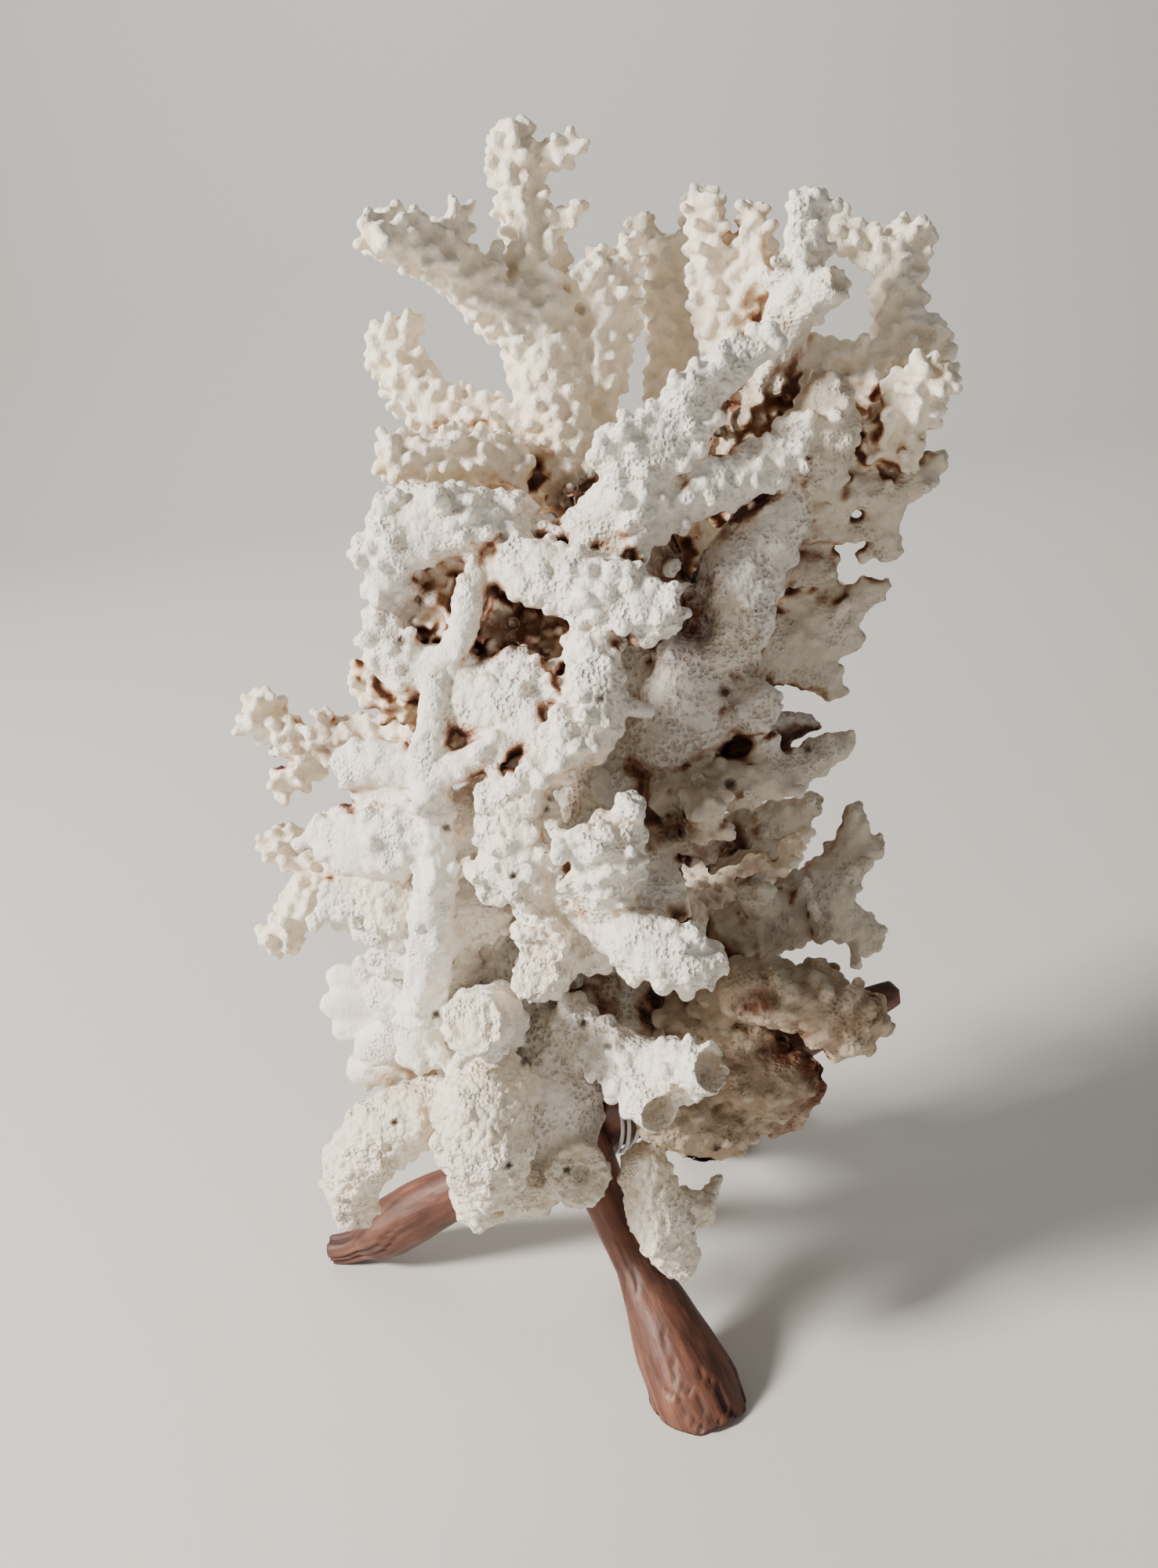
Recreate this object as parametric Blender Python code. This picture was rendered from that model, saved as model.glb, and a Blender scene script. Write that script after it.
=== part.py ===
"""A branching coral colony that rests in a tripod of three lashed wooden legs.

Units: every dimension below is in millimetres, and MM turns it into Blender's metres.
Frame: +Z up, -Y towards the viewer, origin under the middle of the object, on the surface it stands on.
Each limb is a smooth tube swept through a few hand-placed points, fused with its side shoots, given lumps,
and cut back by the limbs it grows against, so that the forks between them are clean joints.
"""

import math
import random

import bmesh
import bpy
from mathutils import Matrix, Vector, kdtree

MM = 0.001

# Driving dimensions
JOINT_GAP = 0.34        # clearance left between two solids that meet
SWEEP_STEP = 2.6        # distance between the rings of a swept limb
SWEEP_SIDES = 14
FUSE_SIZE = 1.7         # grain of the fusing remesh
LUMP_SPACING = 7.5
LUMP_WIDTH = 3.4
LUMP_HEIGHT = 1.7
SEED = 41
FLAT_ENOUGH = 4.6       # degrees between facets that become one

# The limbs are laid out on the upright plane Y = 0, as they are seen from this viewpoint.
EYE = Vector((0.0, -385.0, 310.0))

# Legs: where the line down each one meets the floor, where it ends above the lashing, and at what share of
# that line its lower end lies. A profile gives the radius along a leg, and how far it sags there.
FRONT_FOOT = Vector((13.6, -31.0, 0.0))
FRONT_TOP = Vector((-17.5, 24.5, 74.0))
LEFT_FOOT = Vector((-106.2, 55.7, 0.0))
LEFT_TOP = Vector((78.5, -6.0, 106.0))
BACK_FOOT = Vector((35.0, 104.0, 0.0))
BACK_TOP = Vector((-1.5, 25.0, 68.0))
TURNED_PROFILE = (
    (0.0, 12.2), (0.1, 12.9), (0.22, 11.4), (0.34, 8.6), (0.45, 6.2), (0.6, 6.6), (0.8, 7.6), (0.95, 7.8),
    (1.0, 6.5),
)
TURNED_START = -0.08
STICK_PROFILE = (
    (0.0, 4.7, 1.6), (0.03, 5.1, 3.2), (0.06, 5.5, 3.8), (0.09, 8.4, 3.2), (0.12, 9.6, 2.4), (0.17, 9.6, 1.6),
    (0.23, 8.8, 0.8), (0.31, 7.4, 0.0), (0.48, 8.2, 0.0), (0.64, 8.4, 0.0), (0.85, 7.0, 0.0), (0.94, 5.2, 0.0),
    (1.0, 3.4, 0.0),
)
STICK_START = 0.05
LEG_SIDES = 11
LEG_STEP = 15.0         # distance between the rings of a leg
LASHING_WIRE = 0.8      # radius of the lashing line
LASHING_TURNS = 3
LASHING_STEPS = 12      # corners in a turn
LASHING_PITCH = 3.0

CREAM = (0.86, 0.79, 0.68, 1.0)
WHITE = (0.88, 0.86, 0.83, 1.0)
GREY = (0.62, 0.57, 0.52, 1.0)
WOOD = (0.24, 0.10, 0.055, 1.0)
LINE = (0.78, 0.78, 0.76, 1.0)


def clear_scene():
    for obj in list(bpy.data.objects):
        bpy.data.objects.remove(obj)


def seen(x, z, depth):
    """The point at a depth behind the plane Y = 0 that covers (x, 0, z) when looked at from EYE."""
    share = (depth - EYE.y) / -EYE.y
    return EYE + (Vector((x, 0.0, z)) - EYE) * share


def make_object(name, mesh, colour, roughness):
    material = bpy.data.materials.new(name)
    material.use_nodes = True
    shader = material.node_tree.nodes["Principled BSDF"]
    shader.inputs["Base Color"].default_value = colour
    shader.inputs["Roughness"].default_value = roughness
    mesh.materials.clear()
    mesh.materials.append(material)
    obj = bpy.data.objects.new(name, mesh)
    bpy.context.scene.collection.objects.link(obj)
    return obj


def evaluated_mesh(obj):
    """The mesh of an object with its modifiers, as a new mesh of its own."""
    bpy.context.view_layer.update()
    graph = bpy.context.evaluated_depsgraph_get()
    return bpy.data.meshes.new_from_object(obj.evaluated_get(graph))


def with_modifier(mesh, kind, **settings):
    """Runs one modifier over a mesh and returns the result."""
    holder = bpy.data.objects.new("holder", mesh)
    bpy.context.scene.collection.objects.link(holder)
    modifier = holder.modifiers.new(kind, kind)
    for key, value in settings.items():
        setattr(modifier, key, value)
    result = evaluated_mesh(holder)
    bpy.data.objects.remove(holder)
    return result


def smooth_path(points, step):
    """Catmull-Rom samples of (position, radius) about a step apart."""
    ends = [points[0]] + points + [points[-1]]
    samples = []
    for before, start, stop, after in zip(ends, ends[1:], ends[2:], ends[3:]):
        count = max(1, round((stop[0] - start[0]).length / step))
        for i in range(count):
            t = i / count
            weights = (
                -0.5 * t + t * t - 0.5 * t ** 3,
                1 - 2.5 * t * t + 1.5 * t ** 3,
                0.5 * t + 2 * t * t - 1.5 * t ** 3,
                0.5 * (t ** 3 - t * t),
            )
            place = sum((w * p[0] for w, p in zip(weights, (before, start, stop, after))), Vector())
            samples.append((place, start[1] + (stop[1] - start[1]) * t))
    samples.append(points[-1])
    return samples


def tube(bm, samples, flatness, sides):
    """Adds a closed tube, one ring at each (position, radius). flatness squeezes it from front to back."""
    side = None
    rings = []
    for i, (place, radius) in enumerate(samples):
        ahead = samples[min(i + 1, len(samples) - 1)][0] - samples[max(i - 1, 0)][0]
        ahead.normalize()
        if side is None:
            side = ahead.orthogonal().normalized()
        side = (side - ahead * side.dot(ahead)).normalized()
        other = ahead.cross(side)
        ring = []
        for k in range(sides):
            angle = 2 * math.pi * k / sides
            offset = (side * math.cos(angle) + other * math.sin(angle)) * radius
            offset.y *= flatness
            ring.append(bm.verts.new((place + offset) * MM))
        rings.append((ring, place, radius, ahead.copy()))
    for (first, *_), (second, *_) in zip(rings, rings[1:]):
        for k in range(sides):
            n = (k + 1) % sides
            bm.faces.new((first[k], first[n], second[n], second[k]))
    for end, sign in ((0, -1), (-1, 1)):
        ring, place, radius, ahead = rings[end]
        pole = bm.verts.new((place + ahead * sign * radius * 0.75) * MM)
        for k in range(sides):
            n = (k + 1) % sides
            corners = (ring[n], ring[k], pole) if end == 0 else (ring[k], ring[n], pole)
            bm.faces.new(corners)


def sweep(bm, points, flatness, sides=SWEEP_SIDES, step=SWEEP_STEP):
    tube(bm, smooth_path(points, step), flatness, sides)


def raise_lumps(mesh, rng, height):
    """Pushes the surface out around spots about LUMP_SPACING apart."""
    spots = []
    order = list(range(len(mesh.vertices)))
    rng.shuffle(order)
    for index in order:
        place = mesh.vertices[index].co
        if all((place - spot).length > LUMP_SPACING * MM for spot in spots):
            spots.append(place.copy())
    tree = kdtree.KDTree(len(spots))
    for i, spot in enumerate(spots):
        tree.insert(spot, i)
    tree.balance()
    moves = []
    for vertex in mesh.vertices:
        distance = tree.find(vertex.co)[2] / (LUMP_WIDTH * MM)
        moves.append(vertex.normal * (math.exp(-distance * distance) * height * MM))
    for vertex, move in zip(mesh.vertices, moves):
        vertex.co += move


def largest_body(mesh):
    """Keeps only the biggest connected piece of a mesh that a cut has left in several."""
    bm = bmesh.new()
    bm.from_mesh(mesh)
    bmesh.ops.triangulate(bm, faces=bm.faces)
    bmesh.ops.remove_doubles(bm, verts=bm.verts, dist=0.002 * MM)
    left = set(bm.verts)
    bodies = []
    while left:
        body = [left.pop()]
        for vertex in body:
            for edge in vertex.link_edges:
                other = edge.other_vert(vertex)
                if other in left:
                    left.remove(other)
                    body.append(other)
        bodies.append(body)
    bodies.sort(key=len)
    for body in bodies[:-1]:
        bmesh.ops.delete(bm, geom=body, context="VERTS")
    limit = math.radians(FLAT_ENOUGH)
    bmesh.ops.dissolve_limit(bm, angle_limit=limit, verts=bm.verts[:], edges=bm.edges[:])
    bmesh.ops.triangulate(bm, faces=bm.faces)
    bmesh.ops.recalc_face_normals(bm, faces=bm.faces)
    bm.to_mesh(mesh)
    bm.free()


def swollen_copy(name, mesh):
    """A cutter: the mesh with every face moved out by JOINT_GAP."""
    bm = bmesh.new()
    bm.from_mesh(mesh)
    bm.normal_update()
    moves = [vertex.normal * (min(vertex.calc_shell_factor(), 2.5) * JOINT_GAP * MM) for vertex in bm.verts]
    for vertex, move in zip(bm.verts, moves):
        vertex.co += move
    mesh = bpy.data.meshes.new(name)
    bm.to_mesh(mesh)
    bm.free()
    cutter = bpy.data.objects.new(name + "_cutter", mesh)
    cutter.hide_render = True
    cutter.display_type = "WIRE"
    bpy.context.scene.collection.objects.link(cutter)
    return cutter


def reach(mesh):
    low = Vector([min(v.co[k] for v in mesh.vertices) for k in range(3)])
    high = Vector([max(v.co[k] for v in mesh.vertices) for k in range(3)])
    return low, high


def boxes_meet(first, second):
    return all(first[0][k] < second[1][k] and second[0][k] < first[1][k] for k in range(3))


class Assembly:
    """Holds the finished solids, and cuts each new one back by those it would run into."""

    def __init__(self):
        self.objects = []
        self.cutters = []

    def add(self, name, mesh, colour, roughness=0.85, cutter_mesh=None):
        own_cutter = swollen_copy(name, cutter_mesh or mesh)
        for cutter, box in self.cutters:
            if boxes_meet(reach(mesh), box):
                mesh = with_modifier(
                    mesh, "BOOLEAN", operation="DIFFERENCE", solver="EXACT", use_self=True, object=cutter
                )
                largest_body(mesh)
        self.objects.append(make_object(name, mesh, colour, roughness))
        self.cutters.append((own_cutter, reach(own_cutter.data)))

    def discard_cutters(self):
        for cutter, _ in self.cutters:
            bpy.data.objects.remove(cutter)


def limb(assembly, name, colour, triangles, *paths, flatness=1.0, lumps=LUMP_HEIGHT):
    """One limb of the colony. Each path is a list of (x, z, depth, radius), laid out as EYE sees it."""
    bm = bmesh.new()
    for path in paths:
        sweep(bm, [(seen(x, z, depth), radius) for x, z, depth, radius in path], flatness)
    mesh = bpy.data.meshes.new(name)
    bm.to_mesh(mesh)
    bm.free()
    mesh = with_modifier(mesh, "REMESH", mode="VOXEL", voxel_size=FUSE_SIZE * MM)
    rng = random.Random(f"{SEED} {name}")
    raise_lumps(mesh, rng, lumps)
    share = triangles / (2 * len(mesh.polygons))
    mesh = with_modifier(mesh, "DECIMATE", ratio=share, use_collapse_triangulate=True)
    assembly.add(name, mesh, colour)


def leg(assembly, name, foot, top, profile, first_share):
    """A wooden leg of round section, sawn flat where it stands."""
    start = foot + (top - foot) * first_share
    whole = top - start
    path = []
    for share, radius, *sag in profile:
        path.append((start + whole * share - Vector((0, 0, sum(sag))), radius))
    bm = bmesh.new()
    sweep(bm, path, 1.0, LEG_SIDES, LEG_STEP)
    everything = bm.verts[:] + bm.edges[:] + bm.faces[:]
    cut = bmesh.ops.bisect_plane(
        bm, geom=everything, plane_co=(0, 0, 0), plane_no=(0, 0, 1), clear_inner=True
    )
    edges = [item for item in cut["geom_cut"] if isinstance(item, bmesh.types.BMEdge)]
    bmesh.ops.contextual_create(bm, geom=edges)
    bmesh.ops.recalc_face_normals(bm, faces=bm.faces)
    mesh = bpy.data.meshes.new(name)
    bm.to_mesh(mesh)
    bm.free()
    assembly.add(name, mesh, WOOD, 0.5)


def nearest_points(foot, top, other_foot, other_top):
    """The two points at which two straight legs pass closest to each other."""
    first = (top - foot).normalized()
    second = (other_top - other_foot).normalized()
    apart = other_foot - foot
    slant = first.dot(second)
    along = (apart.dot(first) - apart.dot(second) * slant) / (1 - slant * slant)
    other_along = along * slant - apart.dot(second)
    return foot + first * along, other_foot + second * other_along


def lashing(assembly, name, leg_ends, other_ends, radius, other_radius):
    """Clear line wound slantwise round two crossing legs, held off the wood by JOINT_GAP."""
    near, other_near = nearest_points(*leg_ends, *other_ends)
    first = (leg_ends[1] - leg_ends[0]).normalized()
    second = (other_ends[1] - other_ends[0]).normalized()
    axis = (first - second).normalized()
    across = first.cross(second).normalized()
    along = axis.cross(across)
    middle = (near + other_near) / 2
    points = []
    for i in range(LASHING_TURNS * LASHING_STEPS + 1):
        shift = axis * (LASHING_PITCH * (i / LASHING_STEPS - LASHING_TURNS / 2))
        angle = 2 * math.pi * i / LASHING_STEPS
        reaches = []
        for degrees in range(-80, 81, 5):
            turn = angle + math.radians(degrees)
            aim = across * math.cos(turn) + along * math.sin(turn)
            supports = []
            for place, direction, size in ((near, first, radius), (other_near, second, other_radius)):
                lean = direction.dot(axis)
                centre = place + direction * ((shift - (place - middle)).dot(axis) / lean) - middle
                stretch = (direction - axis * lean).normalized()
                longest = aim.dot(stretch) / lean
                supports.append(centre.dot(aim) + size * math.hypot(longest, aim.dot(axis.cross(stretch))))
            reaches.append((max(supports) + LASHING_WIRE + JOINT_GAP) / math.cos(math.radians(degrees)))
        aim = across * math.cos(angle) + along * math.sin(angle)
        points.append(middle + shift + aim * min(reaches))
    bm = bmesh.new()
    tube(bm, [(point, LASHING_WIRE) for point in points], 1.0, 4)
    mesh = bpy.data.meshes.new(name)
    bm.to_mesh(mesh)
    wrap = bmesh.ops.convex_hull(bm, input=bm.verts)
    inside = wrap["geom_interior"] + wrap["geom_unused"]
    loose = {item for item in inside if isinstance(item, bmesh.types.BMVert)}
    bmesh.ops.delete(bm, geom=list(loose), context="VERTS")
    hull = set(item for item in wrap["geom"] if isinstance(item, bmesh.types.BMFace))
    bmesh.ops.delete(bm, geom=[face for face in bm.faces if face not in hull], context="FACES")
    bmesh.ops.dissolve_limit(bm, angle_limit=math.radians(9), verts=bm.verts[:], edges=bm.edges[:])
    bmesh.ops.triangulate(bm, faces=bm.faces)
    wrapping = bpy.data.meshes.new(name)
    bm.to_mesh(wrapping)
    bm.free()
    assembly.add(name, mesh, LINE, 0.3, wrapping)


def stand(assembly):
    front, left, back = (FRONT_FOOT, FRONT_TOP), (LEFT_FOOT, LEFT_TOP), (BACK_FOOT, BACK_TOP)
    leg(assembly, "leg_front", *front, TURNED_PROFILE, TURNED_START)
    leg(assembly, "leg_left", *left, STICK_PROFILE, STICK_START)
    leg(assembly, "leg_back", *back, TURNED_PROFILE, TURNED_START)
    lashing(assembly, "lashing_front", front, left, 7.8, 8.7)
    lashing(assembly, "lashing_back", back, left, 7.8, 8.7)


def trunk(assembly):
    limb(
        assembly, "trunk_low", WHITE, 120,
        [(0, 86, 18, 12), (2, 100, 18, 18), (4, 124, 18, 20), (6, 148, 20, 19)],
    )
    limb(
        assembly, "trunk_high", WHITE, 120,
        [(8, 150, 20, 19), (12, 176, 20, 19), (18, 204, 24, 18), (18, 232, 28, 15), (12, 246, 30, 12)],
    )
    limb(
        assembly, "trunk_right_plate", GREY, 110,
        [
            (24, 178, 4, 12), (32, 194, 4, 14), (40, 211, 5, 13), (48, 227, 6, 11.4), (58, 241, 8, 9),
            (63, 251, 10, 5),
        ],
        [(40, 188, 10, 8), (45, 189, 3, 7.8), (47, 190, -3, 7.4)],
        [(46, 185, 10, 6), (55, 183, 14, 4.4), (62, 183, 15, 2.4)],
        flatness=0.75, lumps=0.6,
    )


def crown_left(assembly):
    limb(
        assembly, "crown_spire", CREAM, 140,
        [
            (6, 248, 32, 14), (4, 268, 33, 12.4), (3, 286, 35, 10.5), (4, 300, 37, 8.4), (3, 312, 39, 7.4),
            (2, 322, 40, 6.8), (1, 330, 41, 6.2),
        ],
        [(4, 326, 40, 4), (10, 326, 38, 3.4), (16, 327, 36, 2.6)],
        [(6, 311, 38, 4), (13, 312, 36, 2.8), (15, 314, 35, 2.4)],
    )
    limb(
        assembly, "crown_left_arm", CREAM, 90,
        [(-3, 290, 34, 9), (-11, 300, 28, 8), (-20, 308, 21, 7), (-29, 313, 15, 5.6)],
        [(-15, 307, 24, 4.4), (-13, 316, 26, 3.2)],
        [(-25, 309, 16, 4.4), (-33, 313, 10, 4)],
    )
    limb(
        assembly, "crown_low_arm", CREAM, 90,
        [
            (-2, 263, 33, 9), (-14, 268, 33, 8.4), (-25, 273, 36, 8), (-30, 281, 39, 7.4),
            (-33, 289, 43, 6.4),
        ],
        [(-31, 286, 40, 4.4), (-28, 293, 38, 3.4)],
    )
    limb(
        assembly, "crown_middle_finger", CREAM, 80,
        [(11, 256, 36, 7), (14, 268, 36, 6.8), (18, 281, 35, 7), (21, 291, 34, 7), (17, 300, 33, 5.8)],
        [(22, 290, 34, 4), (25, 298, 33, 3.2), (26, 305, 33, 2.6)],
    )
    limb(
        assembly, "crown_back_finger", CREAM, 70,
        [(30, 256, 44, 8.6), (34, 274, 52, 8), (34, 290, 58, 7.6), (34, 302, 62, 6.4)],
        [(36, 299, 60, 5.4), (43, 308, 60, 4), (43, 313, 60, 3.4)],
        [(33, 302, 62, 4.4), (29, 309, 64, 3.2)],
    )
    limb(
        assembly, "shoulder_knobs", CREAM, 70,
        [(-6, 256, 22, 8), (-16, 260, 18, 8), (-27, 261, 15, 7.4), (-36, 262, 13, 6)],
    )


def crown_right(assembly):
    limb(
        assembly, "crown_fork", CREAM, 120,
        [
            (46, 262, 30, 8), (48, 278, 33, 8), (45, 290, 34, 7.2), (44, 302, 34, 6.2),
            (43, 311, 34, 3.6),
        ],
        [(48, 282, 33, 6), (54, 293, 32, 6), (55, 304, 31, 4.6), (55, 309, 31, 3)],
        [(42, 240, 20, 8), (45, 250, 22, 8), (50, 262, 21, 8), (55, 272, 22, 7)],
    )
    limb(
        assembly, "crown_white_finger", WHITE, 120,
        [
            (56, 270, 21, 7), (60, 280, 19, 7.2), (64, 290, 18, 7), (67, 301, 18, 5.8),
            (67, 310, 18, 3.8),
        ],
        [(63, 284, 16, 5.6), (70, 289, 12, 5.4), (74, 291, 9, 5)],
        [(67, 303, 18, 4), (72, 309, 17, 3)],
    )
    limb(
        assembly, "crown_ring", CREAM, 120,
        [
            (56, 276, 26, 5), (66, 275, 28, 5.6), (76, 271, 30, 5.8), (86, 271, 30, 6.4),
            (97, 275, 30, 5),
        ],
        [(86, 271, 30, 6.4), (88, 282, 34, 7.2), (88, 292, 38, 7), (92, 300, 42, 5)],
        [(86, 295, 39, 5.8), (78, 300, 41, 5), (73, 304, 43, 3.6)],
        [(54, 265, 25, 7), (67, 263, 26, 7.4), (80, 264, 26, 7)],
    )
    limb(
        assembly, "right_club", CREAM, 90,
        [(72, 244, 20, 6), (82, 254, 18, 7), (90, 261, 14, 8.4), (96, 267, 10, 6)],
        [(84, 252, 17, 5), (89, 248, 13, 3.4)],
    )
    limb(
        assembly, "right_round_club", GREY, 70,
        [(65, 243, 9, 7.4), (68, 253, 7, 9.2), (69, 261, 7, 9), (71, 267, 8, 6)],
        lumps=0.8,
    )
    limb(
        assembly, "right_tee", GREY, 110,
        [
            (64, 240, 12, 6), (74, 242, 15, 5.4), (83, 240, 17, 5.8), (91, 243, 18, 4.6),
            (96, 247, 18, 3.4),
        ],
        [(83, 239, 17, 5.4), (82, 230, 18, 4.8), (84, 225, 18, 3.6)],
        lumps=0.8,
    )


def front_plates(assembly):
    limb(
        assembly, "front_fork_left", WHITE, 120,
        [
            (4, 228, 2, 11), (14, 238, -4, 12), (23, 250, -6, 10.6), (31, 261, -5, 8.4), (41, 270, -3, 6.6),
            (50, 276, 0, 5.4), (57, 279, 2, 4),
        ],
        [(18, 252, -6, 6), (16, 260, -8, 4)],
        flatness=0.62,
    )
    limb(
        assembly, "front_fork_right", WHITE, 90,
        [(26, 242, -2, 8), (38, 246, -2, 7.6), (48, 248, 0, 7), (57, 252, 2, 6.4), (65, 258, 3, 4)],
    )
    limb(
        assembly, "shoulder_left", WHITE, 110,
        [(4, 230, 8, 10), (-10, 239, 2, 10.4), (-23, 245, -2, 10), (-34, 248, -1, 8), (-39, 251, 0, 5)],
        [(-36, 248, -1, 6), (-38, 243, -4, 5)],
    )
    limb(
        assembly, "left_tip_high", CREAM, 70,
        [(-20, 240, -4, 5), (-29, 240, -6, 5), (-38, 239, -5, 6.4), (-45, 240, -3, 6)],
        [(-40, 236, -5, 6), (-44, 230, -4, 4.6)],
    )
    limb(
        assembly, "centre_shelf", WHITE, 120,
        [
            (-12, 234, -8, 7.6), (-2, 229, -12, 10), (9, 224, -16, 9.4), (19, 219, -20, 8.4),
            (27, 216, -23, 6),
        ],
        flatness=0.85,
    )
    limb(
        assembly, "left_loop", WHITE, 110,
        [(-17, 233, -6, 4.6), (-22, 226, -11, 4.2), (-25, 216, -13, 4), (-31, 208, -11, 5.6)],
        [
            (-31, 208, -11, 6), (-39, 209, -8, 7.6), (-44, 216, -5, 7.2), (-43, 225, -3, 5),
            (-37, 232, -3, 4.4),
        ],
        [(-26, 207, -11, 5), (-18, 206, -13, 4.6), (-12, 210, -14, 3.6)],
    )
    limb(
        assembly, "left_inner_wall", CREAM, 60,
        [(-2, 214, 5, 13), (-16, 218, 5, 12.6), (-30, 222, 5, 11), (-39, 224, 7, 8)],
        [(-12, 204, 1, 11), (-28, 203, 1, 9)],
        [(-36, 200, 2, 7), (-44, 202, 1, 6.4), (-50, 210, 2, 5.4)],
        [(-10, 232, 6, 8), (-24, 234, 6, 8), (-36, 232, 4, 6)],
    )
    limb(
        assembly, "knob_patch", WHITE, 110,
        [(-30, 203, -12, 8), (-22, 198, -15, 11), (-12, 196, -18, 11), (-4, 201, -16, 8)],
        [(-18, 190, -16, 8), (-28, 187, -14, 6)],
        [(-18, 190, -10, 9), (-17, 178, -6, 10), (-19, 168, -4, 11), (-24, 158, -4, 11)],
        flatness=0.7,
    )
    limb(
        assembly, "front_chain", WHITE, 110,
        [
            (8, 213, -16, 6.6), (7, 204, -22, 7.6), (6, 193, -26, 8.4), (-2, 184, -28, 8),
            (-12, 177, -28, 6),
        ],
    )
    limb(
        assembly, "front_slab", WHITE, 120,
        [
            (-15, 176, -26, 8), (-18, 166, -27, 12), (-15, 153, -26, 13), (-9, 142, -22, 12),
            (-4, 128, -16, 12),
        ],
        [(-22, 152, -28, 7), (-29, 150, -28, 4)],
        [(-13, 130, -18, 8), (-14, 130, -32, 7), (-15, 129, -41, 6.6)],
        [(-14, 122, -18, 8), (-16, 120, -32, 7), (-18, 119, -41, 6.6)],
        flatness=0.8,
    )
    limb(
        assembly, "front_right_branch", WHITE, 130,
        [(-2, 128, -18, 10), (4, 137, -30, 9.6), (5, 150, -38, 9.4), (7, 159, -42, 7.4)],
        [(8, 158, -42, 5), (13, 165, -42, 3.4)],
        [(1, 155, -40, 5), (-6, 157, -42, 3.4)],
        [(5, 134, -32, 10), (15, 125, -42, 9.4), (25, 119, -46, 8), (34, 120, -46, 4)],
        [(14, 138, -30, 9), (24, 140, -28, 8)],
    )
    limb(
        assembly, "front_stub_lower", WHITE, 60,
        [(-30, 108, -16, 10), (-34, 108, -32, 9.6), (-37, 108, -42, 9)],
        lumps=0.6,
    )


def left_side(assembly):
    limb(
        assembly, "left_far_arm", CREAM, 120,
        [
            (-30, 188, 8, 6), (-44, 192, 18, 5.4), (-56, 194, 24, 5.4), (-67, 191, 27, 5.8),
            (-74, 197, 28, 5.6), (-79, 204, 29, 5),
        ],
        [(-66, 190, 27, 4.6), (-73, 184, 26, 4.4), (-76, 183, 26, 3.6)],
        [(-62, 194, 25, 3.4), (-63, 200, 24, 2.4)],
    )
    limb(
        assembly, "left_lattice", WHITE, 120,
        [
            (-33, 207, -15, 4.4), (-35, 196, -17, 4.6), (-38, 183, -19, 5.4), (-38, 168, -20, 5.4),
            (-40, 152, -21, 6),
        ],
        [(-41, 152, -21, 6), (-44, 136, -20, 6.6), (-48, 118, -18, 7), (-52, 100, -18, 7.4)],
        [(-39, 180, -20, 5), (-28, 183, -22, 4.6), (-17, 188, -24, 4.4), (-9, 191, -24, 4.4)],
        lumps=0.9,
    )
    limb(
        assembly, "left_mass_high", WHITE, 120,
        [
            (-30, 166, -10, 9), (-42, 166, -14, 11), (-54, 164, -12, 12.4), (-64, 166, -6, 8.6),
            (-69, 170, -4, 4.6),
        ],
        [(-40, 182, -16, 6), (-49, 185, -12, 7), (-58, 185, -8, 7)],
        [(-45, 178, -12, 6), (-56, 178, -8, 4)],
        flatness=0.8,
    )
    limb(
        assembly, "left_mass_low", WHITE, 120,
        [(-26, 140, -6, 10), (-42, 142, -10, 11), (-54, 145, -11, 12), (-66, 152, -8, 8)],
        [(-50, 138, -11, 9), (-58, 130, -10, 5.4)],
        [(-36, 132, -6, 10), (-42, 122, -6, 9)],
        flatness=0.8,
    )
    limb(
        assembly, "left_back_arm", CREAM, 120,
        [(-46, 152, 10, 7), (-60, 154, 16, 7), (-72, 160, 20, 6), (-80, 167, 21, 5.8)],
        [(-70, 156, 19, 6), (-78, 148, 20, 5.6), (-84, 140, 20, 5.6)],
    )
    limb(
        assembly, "left_folds", CREAM, 110,
        [(-34, 112, -2, 10), (-50, 114, -2, 10), (-62, 116, 2, 8.4), (-71, 117, 5, 6)],
        [(-60, 120, 2, 6), (-66, 126, 4, 3.6)],
        [(-52, 102, -2, 9), (-64, 98, 2, 7), (-71, 97, 4, 4.4)],
        flatness=0.75, lumps=1.0,
    )


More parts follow.
